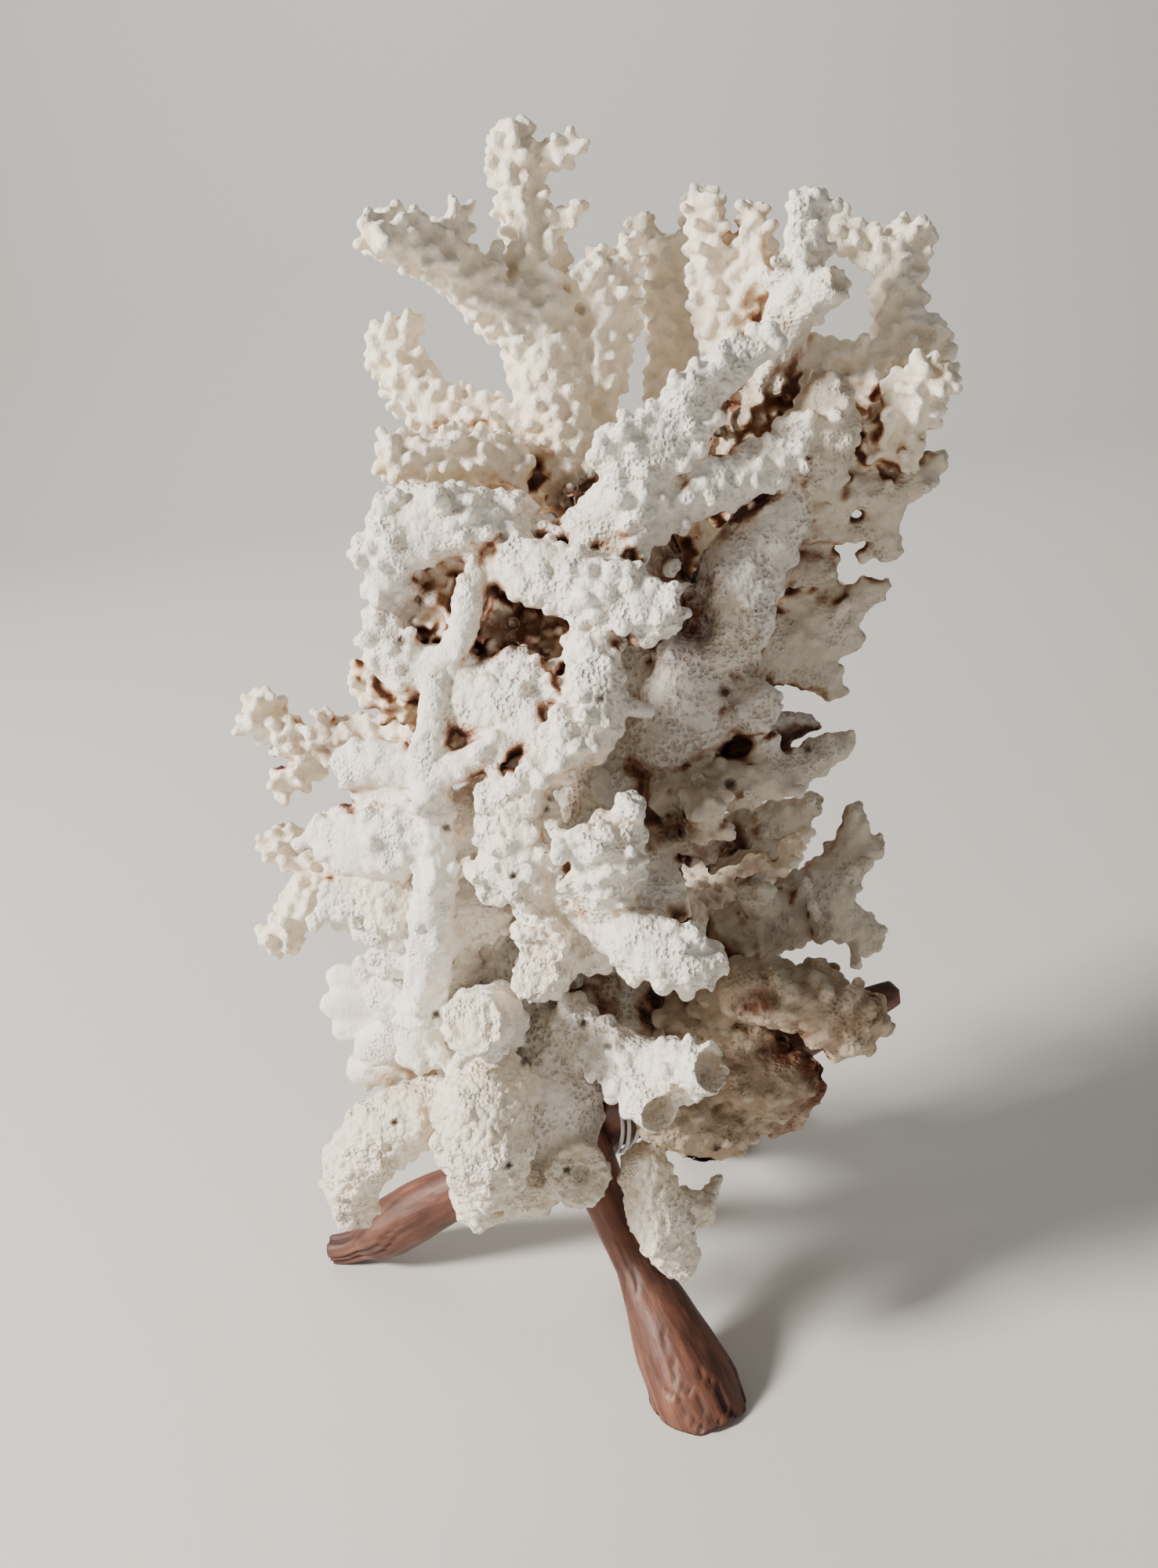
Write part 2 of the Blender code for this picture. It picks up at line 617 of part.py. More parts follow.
def right_side(assembly):
    limb(
        assembly, "right_fan", GREY, 120,
        [
            (44, 202, 16, 10), (56, 205, 22, 11.4), (66, 209, 24, 9), (76, 215, 25, 5),
            (82, 217, 25, 2.4),
        ],
        [(58, 200, 22, 8), (66, 194, 24, 5), (68, 190, 24, 2.6)],
        [(66, 212, 24, 5), (69, 219, 24, 2.6)],
        [(64, 204, 24, 7), (75, 204, 24, 3.4)],
        [(58, 212, 23, 6), (61, 219, 23, 2.8)],
        flatness=0.5, lumps=0.7,
    )
    limb(
        assembly, "right_spur_high", GREY, 90,
        [(50, 232, 16, 8), (62, 235, 16, 6), (71, 233, 18, 4.4), (77, 231, 18, 2.6)],
        [(54, 226, 18, 7), (64, 224, 20, 6), (68, 222, 20, 4)],
        [(57, 230, 20, 7), (67, 229, 22, 5)],
        lumps=0.7,
    )
    limb(
        assembly, "right_finger", GREY, 110,
        [
            (22, 168, 2, 9), (34, 169, -2, 8), (46, 169, -2, 6.2), (56, 171, 2, 5.4),
            (65, 175, 6, 4.8), (71, 177, 8, 2.8),
        ],
        [(30, 158, -6, 6), (32, 166, -14, 6.6)],
        [(22, 160, 6, 8), (34, 154, 10, 7)],
        [(38, 177, 14, 8), (52, 178, 17, 6)],
        [(32, 152, 22, 8), (44, 156, 22, 6.8), (54, 158, 22, 5.6), (61, 161, 22, 3)],
        lumps=0.8,
    )
    limb(
        assembly, "right_horn", GREY, 120,
        [
            (34, 124, 8, 9), (46, 128, 10, 10), (57, 132, 14, 10.4), (66, 140, 18, 7.6),
            (71, 150, 20, 5.2), (71, 158, 20, 2.8),
        ],
        [(68, 144, 18, 5), (77, 147, 19, 3.6)],
        [(62, 130, 16, 8), (70, 124, 18, 6), (75, 118, 18, 4)],
        [(46, 132, 6, 6.4), (43, 138, 0, 4.8)],
        [(60, 128, 10, 6), (61, 125, 4, 4.6)],
        lumps=0.9,
    )
    limb(
        assembly, "right_low_lump", GREY, 90,
        [(20, 104, -4, 9), (32, 100, -12, 8.6), (43, 98, -14, 7.2)],
        lumps=1.0,
    )
    limb(
        assembly, "right_low_arm", GREY, 120,
        [
            (28, 109, -12, 9), (42, 108, -20, 9), (54, 104, -26, 9), (64, 100, -28, 8),
            (70, 98, -28, 6.4),
        ],
        [(54, 104, -24, 8), (60, 110, -20, 6)],
        [(58, 98, -26, 8), (67, 94, -24, 7.6), (73, 96, -20, 5.6)],
        lumps=1.0,
    )
    limb(
        assembly, "right_low_mass", GREY, 120,
        [(18, 88, -14, 11), (32, 84, -16, 11.4), (45, 80, -18, 10.4), (53, 78, -18, 8.6)],
        [(40, 74, -16, 8), (48, 67, -14, 5)],
        [(12, 76, -24, 8), (20, 68, -24, 8.6), (29, 67, -20, 8.4), (36, 70, -14, 7)],
        lumps=1.2,
    )


def base(assembly):
    limb(
        assembly, "base_centre", WHITE, 120,
        [(-12, 128, 2, 13), (-27, 116, 0, 12), (-34, 104, -4, 10)],
        [(-10, 104, -4, 14), (-18, 90, -10, 16), (-18, 74, -12, 14), (-18, 60, -12, 10)],
        [(-16, 64, -14, 9), (-13, 57, -26, 8.6), (-12, 56, -32, 8)],
        lumps=0.7,
    )
    limb(
        assembly, "base_tubes", WHITE, 120,
        [
            (-12, 106, -12, 7), (-2, 97, -22, 7.6), (9, 89, -31, 8.2), (20, 86, -39, 7.8),
            (28, 85, -46, 7),
        ],
        [(4, 89, -28, 8), (8, 80, -36, 7.4), (12, 73, -45, 6)],
        lumps=0.9,
    )
    limb(
        assembly, "hanging_lump", WHITE, 110,
        [(6, 60, -26, 6), (7, 50, -28, 8), (9, 38, -28, 8.4), (12, 27, -28, 6.8), (14, 20, -28, 4)],
        [(12, 42, -24, 5.6), (19, 41, -18, 5), (23, 40, -16, 4.2)],
        lumps=1.0,
    )
    limb(
        assembly, "front_lump", WHITE, 120,
        [(-32, 90, -22, 11), (-37, 80, -34, 13), (-38, 68, -38, 12.6), (-38, 58, -36, 9)],
        [(-40, 60, -28, 8), (-43, 52, -26, 6.4), (-41, 45, -26, 4.4)],
        [(-38, 60, -26, 9), (-29, 54, -24, 7.4), (-23, 50, -22, 5)],
    )
    limb(
        assembly, "low_left_branch", WHITE, 120,
        [
            (-40, 88, -16, 9), (-52, 83, -20, 10), (-64, 78, -20, 10.4), (-73, 70, -18, 10),
            (-77, 60, -18, 8.4), (-77, 51, -18, 5.6),
        ],
    )


def back_side(assembly):
    limb(
        assembly, "back_crown_left", CREAM, 80,
        [(4, 234, 38, 12), (-4, 242, 52, 10), (-10, 250, 62, 8), (-12, 257, 68, 6)],
        [(-6, 244, 54, 7), (-20, 248, 58, 6), (-27, 252, 58, 5)],
        [(-4, 242, 56, 7), (6, 250, 70, 5.6)],
    )
    limb(
        assembly, "back_crown_right", CREAM, 80,
        [(28, 232, 38, 12), (36, 242, 54, 10), (42, 254, 64, 8), (44, 264, 68, 6)],
        [(38, 244, 56, 7), (52, 250, 58, 6), (58, 256, 56, 5)],
        [(34, 242, 58, 7), (26, 254, 72, 5.6)],
    )
    limb(
        assembly, "back_upper_left", CREAM, 90,
        [(2, 198, 38, 13), (-10, 204, 56, 11), (-20, 212, 68, 8.6), (-26, 222, 74, 6.4)],
        [(-14, 208, 58, 8), (-32, 208, 58, 7), (-40, 214, 54, 5.4)],
        [(-8, 206, 62, 8), (0, 218, 76, 6)],
    )
    limb(
        assembly, "back_upper_right", CREAM, 80,
        [(32, 202, 36, 12), (42, 208, 54, 10), (50, 216, 64, 8), (54, 226, 68, 6)],
        [(46, 212, 56, 7), (60, 214, 54, 6), (66, 220, 50, 4.6)],
        [(42, 210, 58, 7), (34, 222, 74, 5.6)],
    )
    limb(
        assembly, "back_middle", CREAM, 90,
        [(14, 168, 40, 13), (14, 176, 62, 11), (12, 186, 76, 8.6), (12, 198, 82, 6.4)],
        [(14, 180, 66, 8), (28, 186, 74, 6.6), (34, 194, 74, 5)],
        [(14, 178, 66, 8), (-2, 184, 74, 6.4), (-10, 192, 74, 5)],
    )
    limb(
        assembly, "back_left", CREAM, 90,
        [(-12, 146, 36, 12), (-24, 150, 54, 10), (-34, 160, 64, 8), (-38, 172, 68, 6)],
        [(-28, 154, 56, 7), (-44, 156, 54, 6), (-52, 163, 50, 5)],
        [(-22, 152, 58, 7), (-14, 164, 74, 6)],
    )
    limb(
        assembly, "back_right", CREAM, 80,
        [(20, 130, 38, 12), (32, 136, 56, 10), (40, 146, 66, 8), (44, 158, 70, 6)],
        [(36, 140, 58, 7), (50, 146, 56, 6), (55, 154, 52, 4.6)],
        [(32, 138, 60, 7), (22, 150, 74, 5.6)],
    )
    limb(
        assembly, "back_low_left", WHITE, 80,
        [(-12, 104, 36, 12), (-26, 106, 56, 10.6), (-38, 114, 66, 8.4), (-44, 126, 70, 6.4)],
        [(-30, 108, 60, 7), (-48, 104, 58, 6.4), (-56, 108, 54, 5)],
        [(-20, 104, 60, 8), (-14, 98, 74, 6.4)],
    )
    limb(
        assembly, "back_low_right", WHITE, 70,
        [(18, 98, 36, 11), (30, 98, 54, 10), (40, 106, 62, 8), (44, 116, 66, 6)],
        [(32, 98, 56, 7), (46, 94, 56, 6)],
        [(26, 98, 58, 8), (18, 94, 74, 6.6)],
    )


def stand_on_origin(objects):
    """Moves everything so that the middle of the object's box is over the origin."""
    boxes = [reach(obj.data) for obj in objects]
    low = Vector([min(box[0][k] for box in boxes) for k in range(3)])
    high = Vector([max(box[1][k] for box in boxes) for k in range(3)])
    shift = Matrix.Translation((-(low.x + high.x) / 2, -(low.y + high.y) / 2, -low.z))
    for obj in objects:
        obj.data.transform(shift)


def main():
    clear_scene()
    assembly = Assembly()
    stand(assembly)
    trunk(assembly)
    front_plates(assembly)
    crown_left(assembly)
    crown_right(assembly)
    left_side(assembly)
    right_side(assembly)
    base(assembly)
    back_side(assembly)
    assembly.discard_cutters()
    stand_on_origin(assembly.objects)


main()
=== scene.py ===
import math
import random

import bpy
import numpy as np
from mathutils import Matrix, Vector, noise


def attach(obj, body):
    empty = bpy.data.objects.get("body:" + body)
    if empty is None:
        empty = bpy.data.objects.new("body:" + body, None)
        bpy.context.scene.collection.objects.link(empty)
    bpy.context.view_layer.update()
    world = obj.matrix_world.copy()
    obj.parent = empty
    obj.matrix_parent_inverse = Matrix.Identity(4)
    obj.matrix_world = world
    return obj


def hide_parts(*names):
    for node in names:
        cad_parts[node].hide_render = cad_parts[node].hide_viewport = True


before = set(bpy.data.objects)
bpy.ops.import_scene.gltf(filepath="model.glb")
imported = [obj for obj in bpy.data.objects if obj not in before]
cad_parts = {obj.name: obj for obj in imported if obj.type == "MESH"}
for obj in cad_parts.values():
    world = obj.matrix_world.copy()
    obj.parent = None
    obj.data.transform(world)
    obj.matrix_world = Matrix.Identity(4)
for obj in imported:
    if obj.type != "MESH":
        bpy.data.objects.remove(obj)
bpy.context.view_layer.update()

# Lengths are in millimetres until a mesh is made. Limbs are laid out on the upright plane Y = 0,
# as they are seen from EYE, and HOME then moves everything over the row's origin.
MM = 0.001
EYE = np.array([0.0, -385.0, 310.0])
HOME = np.array([-3.582, -31.887, 0.0])
SEED = 7
FULL_TURN = 2 * math.pi
FUSE_SIZE = 0.90        # grain of the fusing remesh
ISLAND = 120            # a patch of fewer faces than this goes to the limb round it
RING_STEP = 2.2         # distance between the rings of a limb's tube
SPRIG_STEP = 1.5        # the same for a branchlet
PETAL_STEP = 1.2        # the same for a petal
TUBE_SIDES = 16
THIN_TUBE_SIDES = 10
TUBE_END = 0.75         # how far a tube's end stands out, beside its radius
KNOB_ROOT = 2.2         # how far a knob reaches down into its limb
KNOB_SINK = 0.6         # the head of a low knob sinks in by up to this share of its radius
KNOB_TRIES = 6          # places tried for each knob that there is room for
KNOB_PATCH = 12         # size of the patches with more or fewer knobs
TIP_CROWDING = 0.85     # how close the knobs stand on a growing tip, beside their usual spacing
PATCHINESS = 1.1        # how much bigger the knobs are where a patch is lush
BARE_BELOW = -0.10      # where a patch is poorer than this
BARE_SHARE = 0.7        # this share of its knobs is left out
LIFT = np.array([0, 0, 0.15])   # knobs lean up a little
SPRIG_RADIUS = (1.9, 2.7)
SPRIG_REACH = (1.5, 4.5)
SPRIG_KNOB = (1.3, 1.7)
SPRIG_KNOB_STAND = (0.6, 1.8)
SPRIG_LIFT = np.array([0, 0, 0.2])
CORE_WANDER = 0.14      # how much a limb's thickness wanders along it
BURIED = 0.86           # a place nearer to another limb's middle than this share of its radius is hidden

# How far outside the surface the crevices are felt for, and the weight of each
RECESS_STEPS = ((4.5, 0.35), (10.0, 0.65))
# The sizes of the crust's broad, middle and fine lumps, each with its own place in the noise
CRUST_LUMPS = ((6.5, 0), (2.9, 40), (1.7, 90))
BROKEN_SMOOTH = 0.72    # how much of the crust is missing on a broken face

# Per look: how thick the core is beside the limb's full radius, how far apart the knobs are, their radius,
# how far they stand out, how much they lean towards the tip, how rough the surface between them is, how
# patchily the knobs are spread, and how many short branchlets there are for each 100 mm of limb
LOOK_KEYS = ("core", "spacing", "knob", "stand", "lean", "rough", "patchy", "sprigs")
LOOKS = {look: dict(zip(LOOK_KEYS, values)) for look, values in {
    "cream": (0.78, 3.15, (1.4, 1.9), (1.9, 3.8), 0.6, 0.15, 0.0, 2.5),
    "white": (0.85, 3.7, (1.4, 2.5), (0.9, 3.0), 0.25, 0.95, 0.8, 3.0),
    "chalk": (0.86, 3.7, (1.2, 2.2), (0.5, 2.1), 0.2, 1.05, 0.9, 2.0),
    "porous": (0.94, 6.0, (1.5, 3.0), (0.4, 1.6), 0.1, 1.3, 0.0, 0.0),
    "grey": (0.90, 4.4, (1.2, 2.2), (0.6, 2.0), 0.6, 0.9, 0.3, 7.0),
    "rough": (0.92, 3.8, (1.3, 2.6), (0.4, 2.0), 0.0, 1.6, 0.7, 1.0),
    "stained": (0.90, 3.9, (1.5, 3.0), (0.6, 2.6), 0.0, 1.4, 0.6, 1.0),
    "petal": (0.84, 7.0, (1.6, 3.0), (0.6, 1.8), 0.4, 0.35, 0.0, 0.0),
}.items()}

# Each limb: its name, its look, how flat it is from front to back, and its paths of (x, z, depth, radius)
LIMBS = [
    ("trunk_low", "porous", 1.0, [
        [(0, 86, 18, 12), (2, 100, 18, 18), (4, 124, 18, 20), (6, 148, 20, 19)],
    ]),
    ("trunk_high", "porous", 1.0, [
        [(8, 150, 20, 19), (12, 176, 20, 19), (18, 204, 24, 18), (18, 232, 28, 15), (12, 246, 30, 12)],
    ]),
    ("trunk_right_plate", "porous", 0.75, [
        [(24, 178, 4, 12), (32, 194, 4, 14), (40, 211, 5, 13), (48, 227, 6, 11.4), (58, 241, 8, 9),
         (63, 251, 10, 5)],
        [(40, 188, 10, 8), (45, 189, 3, 7.8), (47, 190, -3, 7.4)],
        [(46, 185, 10, 6), (55, 183, 14, 4.4), (62, 183, 15, 2.4)],
    ]),
    ("crown_spire", "cream", 1.0, [
        [(6, 248, 32, 14), (4, 268, 33, 12.4), (3, 286, 35, 10.5), (4, 300, 37, 8.4), (3, 312, 39, 7.4),
         (2, 322, 40, 6.8), (1, 330, 41, 6.2)],
        [(4, 326, 40, 4), (10, 326, 38, 3.4), (16, 327, 36, 2.6)],
        [(6, 311, 38, 4), (13, 312, 36, 2.8), (15, 314, 35, 2.4)],
    ]),
    ("crown_left_arm", "cream", 1.0, [
        [(-3, 290, 34, 9), (-11, 300, 28, 8), (-20, 308, 21, 7), (-29, 313, 15, 5.6)],
        [(-15, 307, 24, 4.4), (-13, 316, 26, 3.2)],
        [(-25, 309, 16, 4.4), (-33, 313, 10, 4)],
    ]),
    ("crown_low_arm", "cream", 1.0, [
        [(-2, 263, 33, 9), (-14, 268, 33, 8.4), (-25, 273, 36, 8), (-30, 281, 39, 7.4),
         (-33, 289, 43, 6.4)],
        [(-31, 286, 40, 4.4), (-28, 293, 38, 3.4)],
    ]),
    ("crown_middle_finger", "cream", 1.0, [
        [(11, 256, 36, 7), (14, 268, 36, 6.8), (18, 281, 35, 7), (21, 291, 34, 7), (17, 300, 33, 5.8)],
        [(22, 290, 34, 4), (25, 298, 33, 3.2), (26, 305, 33, 2.6)],
    ]),
    ("crown_back_finger", "cream", 1.0, [
        [(30, 256, 44, 8.6), (34, 274, 52, 8), (34, 290, 58, 7.6), (34, 302, 62, 6.4)],
        [(36, 299, 60, 5.4), (43, 308, 60, 4), (43, 313, 60, 3.4)],
        [(33, 302, 62, 4.4), (29, 309, 64, 3.2)],
    ]),
    ("shoulder_knobs", "cream", 1.0, [
        [(-6, 256, 22, 8), (-16, 260, 18, 8), (-27, 261, 15, 7.4), (-36, 262, 13, 6)],
    ]),
    ("crown_fork", "cream", 1.0, [
        [(46, 262, 30, 8), (48, 278, 33, 8), (45, 290, 34, 7.2), (44, 302, 34, 6.2), (43, 311, 34, 3.6)],
        [(48, 282, 33, 6), (54, 293, 32, 6), (55, 304, 31, 4.6), (55, 309, 31, 3)],
        [(42, 240, 20, 8), (45, 250, 22, 8), (50, 262, 21, 8), (55, 272, 22, 7)],
    ]),
    ("crown_white_finger", "white", 1.0, [
        [(56, 270, 21, 7), (60, 280, 19, 7.2), (64, 290, 18, 7), (67, 301, 18, 5.8), (67, 310, 18, 3.8)],
        [(63, 284, 16, 5.6), (70, 289, 12, 5.4), (74, 291, 9, 5)],
        [(67, 303, 18, 4), (72, 309, 17, 3)],
    ]),
    ("crown_ring", "cream", 1.0, [
        [(56, 276, 26, 5), (66, 275, 28, 5.6), (76, 271, 30, 5.8), (86, 271, 30, 6.4), (97, 275, 30, 5)],
        [(86, 271, 30, 6.4), (88, 282, 34, 7.2), (88, 292, 38, 7), (92, 300, 42, 5)],
        [(86, 295, 39, 5.8), (78, 300, 41, 5), (73, 304, 43, 3.6)],
        [(54, 265, 25, 7), (67, 263, 26, 7.4), (80, 264, 26, 7)],
    ]),
    ("right_club", "cream", 1.0, [
        [(72, 244, 20, 6), (82, 254, 18, 7), (90, 261, 14, 8.4), (96, 267, 10, 6)],
        [(84, 252, 17, 5), (89, 248, 13, 3.4)],
    ]),
    ("right_round_club", "grey", 1.0, [
        [(65, 243, 9, 7.4), (68, 253, 7, 9.2), (69, 261, 7, 9), (71, 267, 8, 6)],
    ]),
    ("right_tee", "grey", 1.0, [
        [(64, 240, 12, 6), (74, 242, 15, 5.4), (83, 240, 17, 5.8), (91, 243, 18, 4.6), (96, 247, 18, 3.4)],
        [(83, 239, 17, 5.4), (82, 230, 18, 4.8), (84, 225, 18, 3.6)],
    ]),
    ("front_fork_left", "white", 0.62, [
        [(4, 228, 2, 11), (14, 238, -4, 12), (23, 250, -6, 10.6), (31, 261, -5, 8.4), (41, 270, -3, 6.6),
         (50, 276, 0, 5.4), (57, 279, 2, 4)],
        [(18, 252, -6, 6), (16, 260, -8, 4)],
    ]),
    ("front_fork_right", "white", 1.0, [
        [(26, 242, -2, 8), (38, 246, -2, 7.6), (48, 248, 0, 7), (57, 252, 2, 6.4), (65, 258, 3, 4)],
    ]),
    ("shoulder_left", "white", 1.0, [
        [(4, 230, 8, 10), (-10, 239, 2, 10.4), (-23, 245, -2, 10), (-34, 248, -1, 8), (-39, 251, 0, 5)],
        [(-36, 248, -1, 6), (-38, 243, -4, 5)],
    ]),
    ("left_tip_high", "chalk", 1.0, [
        [(-20, 240, -4, 5), (-29, 240, -6, 5), (-38, 239, -5, 6.4), (-45, 240, -3, 6)],
        [(-40, 236, -5, 6), (-44, 230, -4, 4.6)],
    ]),
    ("centre_shelf", "white", 0.85, [
        [(-12, 234, -8, 7.6), (-2, 229, -12, 10), (9, 224, -16, 9.4), (19, 219, -20, 8.4),
         (27, 216, -23, 6)],
    ]),
    ("left_loop", "chalk", 1.0, [
        [(-17, 233, -6, 4.6), (-22, 226, -11, 4.2), (-25, 216, -13, 4), (-31, 208, -11, 5.6)],
        [(-31, 208, -11, 6), (-39, 209, -8, 7.6), (-44, 216, -5, 7.2), (-43, 225, -3, 5),
         (-37, 232, -3, 4.4)],
        [(-26, 207, -11, 5), (-18, 206, -13, 4.6), (-12, 210, -14, 3.6)],
    ]),
    ("left_inner_wall", "cream", 1.0, [
        [(-2, 214, 5, 13), (-16, 218, 5, 12.6), (-30, 222, 5, 11), (-39, 224, 7, 8)],
        [(-12, 204, 1, 11), (-28, 203, 1, 9)],
        [(-36, 200, 2, 7), (-44, 202, 1, 6.4), (-50, 210, 2, 5.4)],
        [(-10, 232, 6, 8), (-24, 234, 6, 8), (-36, 232, 4, 6)],
    ]),
    ("knob_patch", "white", 0.7, [
        [(-30, 203, -12, 8), (-22, 198, -15, 11), (-12, 196, -18, 11), (-4, 201, -16, 8)],
        [(-18, 190, -16, 8), (-28, 187, -14, 6)],
        [(-18, 190, -10, 9), (-17, 178, -6, 10), (-19, 168, -4, 11), (-24, 158, -4, 11)],
    ]),
    ("front_chain", "white", 1.0, [
        [(8, 213, -16, 6.6), (7, 204, -22, 7.6), (6, 193, -26, 8.4), (-2, 184, -28, 8), (-12, 177, -28, 6)],
    ]),
    ("front_slab", "white", 0.8, [
        [(-15, 176, -26, 8), (-18, 166, -27, 12), (-15, 153, -26, 13), (-9, 142, -22, 12),
         (-4, 128, -16, 12)],
        [(-22, 152, -28, 7), (-29, 150, -28, 4)],
        [(-13, 130, -18, 8), (-14, 130, -32, 7), (-15, 129, -41, 6.6)],
        [(-14, 122, -18, 8), (-16, 120, -32, 7), (-18, 119, -41, 6.6)],
    ]),
    ("front_right_branch", "white", 1.0, [
        [(-2, 128, -18, 10), (4, 137, -30, 9.6), (5, 150, -38, 9.4), (7, 159, -42, 7.4)],
        [(8, 158, -42, 5), (13, 165, -42, 3.4)],
        [(1, 155, -40, 5), (-6, 157, -42, 3.4)],
        [(5, 134, -32, 10), (15, 125, -42, 9.4), (25, 119, -46, 8), (34, 120, -46, 4)],
        [(14, 138, -30, 9), (24, 140, -28, 8)],
    ]),
    ("front_stub_lower", "chalk", 1.0, [
        [(-30, 108, -16, 10), (-34, 108, -32, 9.6), (-37, 108, -42, 9)],
    ]),
    ("left_far_arm", "cream", 1.0, [
        [(-30, 188, 8, 6), (-44, 192, 18, 5.4), (-56, 194, 24, 5.4), (-67, 191, 27, 5.8),
         (-74, 197, 28, 5.6), (-79, 204, 29, 5)],
        [(-66, 190, 27, 4.6), (-73, 184, 26, 4.4), (-76, 183, 26, 3.6)],
        [(-62, 194, 25, 3.4), (-63, 200, 24, 2.4)],
    ]),
    ("left_lattice", "chalk", 1.0, [
        [(-33, 207, -15, 4.4), (-35, 196, -17, 4.6), (-38, 183, -19, 5.4), (-38, 168, -20, 5.4),
         (-40, 152, -21, 6)],
        [(-41, 152, -21, 6), (-44, 136, -20, 6.6), (-48, 118, -18, 7), (-52, 100, -18, 7.4)],
        [(-39, 180, -20, 5), (-28, 183, -22, 4.6), (-17, 188, -24, 4.4), (-9, 191, -24, 4.4)],
    ]),
    ("left_mass_high", "chalk", 0.8, [
        [(-30, 166, -10, 9), (-42, 166, -14, 11), (-54, 164, -12, 12.4), (-64, 166, -6, 8.6),
         (-69, 170, -4, 4.6)],
        [(-40, 182, -16, 6), (-49, 185, -12, 7), (-58, 185, -8, 7)],
        [(-45, 178, -12, 6), (-56, 178, -8, 4)],
    ]),
    ("left_mass_low", "white", 0.8, [
        [(-26, 140, -6, 10), (-42, 142, -10, 11), (-54, 145, -11, 12), (-66, 152, -8, 8)],
        [(-50, 138, -11, 9), (-58, 130, -10, 5.4)],
        [(-36, 132, -6, 10), (-42, 122, -6, 9)],
    ]),
    ("left_back_arm", "cream", 1.0, [
        [(-46, 152, 10, 7), (-60, 154, 16, 7), (-72, 160, 20, 6), (-80, 167, 21, 5.8)],
        [(-70, 156, 19, 6), (-78, 148, 20, 5.6), (-84, 140, 20, 5.6)],
    ]),
    ("left_folds", "petal", 0.75, [
        [(-34, 112, -2, 10), (-50, 114, -2, 10), (-62, 116, 2, 8.4), (-71, 117, 5, 6)],
        [(-60, 120, 2, 6), (-66, 126, 4, 3.6)],
        [(-52, 102, -2, 9), (-64, 98, 2, 7), (-71, 97, 4, 4.4)],
    ]),
    ("right_fan", "grey", 0.5, [
        [(44, 202, 16, 10), (56, 205, 22, 11.4), (66, 209, 24, 9), (76, 215, 25, 5), (82, 217, 25, 2.4)],
        [(58, 200, 22, 8), (66, 194, 24, 5), (68, 190, 24, 2.6)],
        [(66, 212, 24, 5), (69, 219, 24, 2.6)],
        [(64, 204, 24, 7), (75, 204, 24, 3.4)],
        [(58, 212, 23, 6), (61, 219, 23, 2.8)],
    ]),
    ("right_spur_high", "grey", 1.0, [
        [(50, 232, 16, 8), (62, 235, 16, 6), (71, 233, 18, 4.4), (77, 231, 18, 2.6)],
        [(54, 226, 18, 7), (64, 224, 20, 6), (68, 222, 20, 4)],
        [(57, 230, 20, 7), (67, 229, 22, 5)],
    ]),
    ("right_finger", "grey", 1.0, [
        [(22, 168, 2, 9), (34, 169, -2, 8), (46, 169, -2, 6.2), (56, 171, 2, 5.4), (65, 175, 6, 4.8),
         (71, 177, 8, 2.8)],
        [(30, 158, -6, 6), (32, 166, -14, 6.6)],
        [(22, 160, 6, 8), (34, 154, 10, 7)],
        [(38, 177, 14, 8), (52, 178, 17, 6)],
        [(32, 152, 22, 8), (44, 156, 22, 6.8), (54, 158, 22, 5.6), (61, 161, 22, 3)],
    ]),
    ("right_horn", "grey", 1.0, [
        [(34, 124, 8, 9), (46, 128, 10, 10), (57, 132, 14, 10.4), (66, 140, 18, 7.6), (71, 150, 20, 5.2),
         (71, 158, 20, 2.8)],
        [(68, 144, 18, 5), (77, 147, 19, 3.6)],
        [(62, 130, 16, 8), (70, 124, 18, 6), (75, 118, 18, 4)],
        [(46, 132, 6, 6.4), (43, 138, 0, 4.8)],
        [(60, 128, 10, 6), (61, 125, 4, 4.6)],
    ]),
    ("right_low_lump", "stained", 1.0, [
        [(20, 104, -4, 9), (32, 100, -12, 8.6), (43, 98, -14, 7.2)],
    ]),
    ("right_low_arm", "stained", 1.0, [
        [(28, 109, -12, 9), (42, 108, -20, 9), (54, 104, -26, 9), (64, 100, -28, 8), (70, 98, -28, 6.4)],
        [(54, 104, -24, 8), (60, 110, -20, 6)],
        [(58, 98, -26, 8), (67, 94, -24, 7.6), (73, 96, -20, 5.6)],
    ]),
    ("right_low_mass", "stained", 1.0, [
        [(18, 88, -14, 11), (32, 84, -16, 11.4), (45, 80, -18, 10.4), (53, 78, -18, 8.6)],
        [(40, 74, -16, 8), (48, 67, -14, 5)],
        [(12, 76, -24, 8), (20, 68, -24, 8.6), (29, 67, -20, 8.4), (36, 70, -14, 7)],
    ]),
    ("base_centre", "porous", 1.0, [
        [(-12, 128, 2, 13), (-27, 116, 0, 12), (-34, 104, -4, 10)],
        [(-10, 104, -4, 14), (-18, 90, -10, 16), (-18, 74, -12, 14), (-18, 60, -12, 10)],
        [(-16, 64, -14, 9), (-13, 57, -26, 8.6), (-12, 56, -32, 8)],
    ]),
    ("base_tubes", "white", 1.0, [
        [(-12, 106, -12, 7), (-2, 97, -22, 7.6), (9, 89, -31, 8.2), (20, 86, -39, 7.8), (28, 85, -46, 7)],
        [(4, 89, -28, 8), (8, 80, -36, 7.4), (12, 73, -45, 6)],
    ]),
    ("hanging_lump", "rough", 1.0, [
        [(6, 60, -26, 6), (7, 50, -28, 8), (9, 38, -28, 8.4), (12, 27, -28, 6.8), (14, 20, -28, 4)],
        [(12, 42, -24, 5.6), (19, 41, -18, 5), (23, 40, -16, 4.2)],
    ]),
    ("front_lump", "rough", 1.0, [
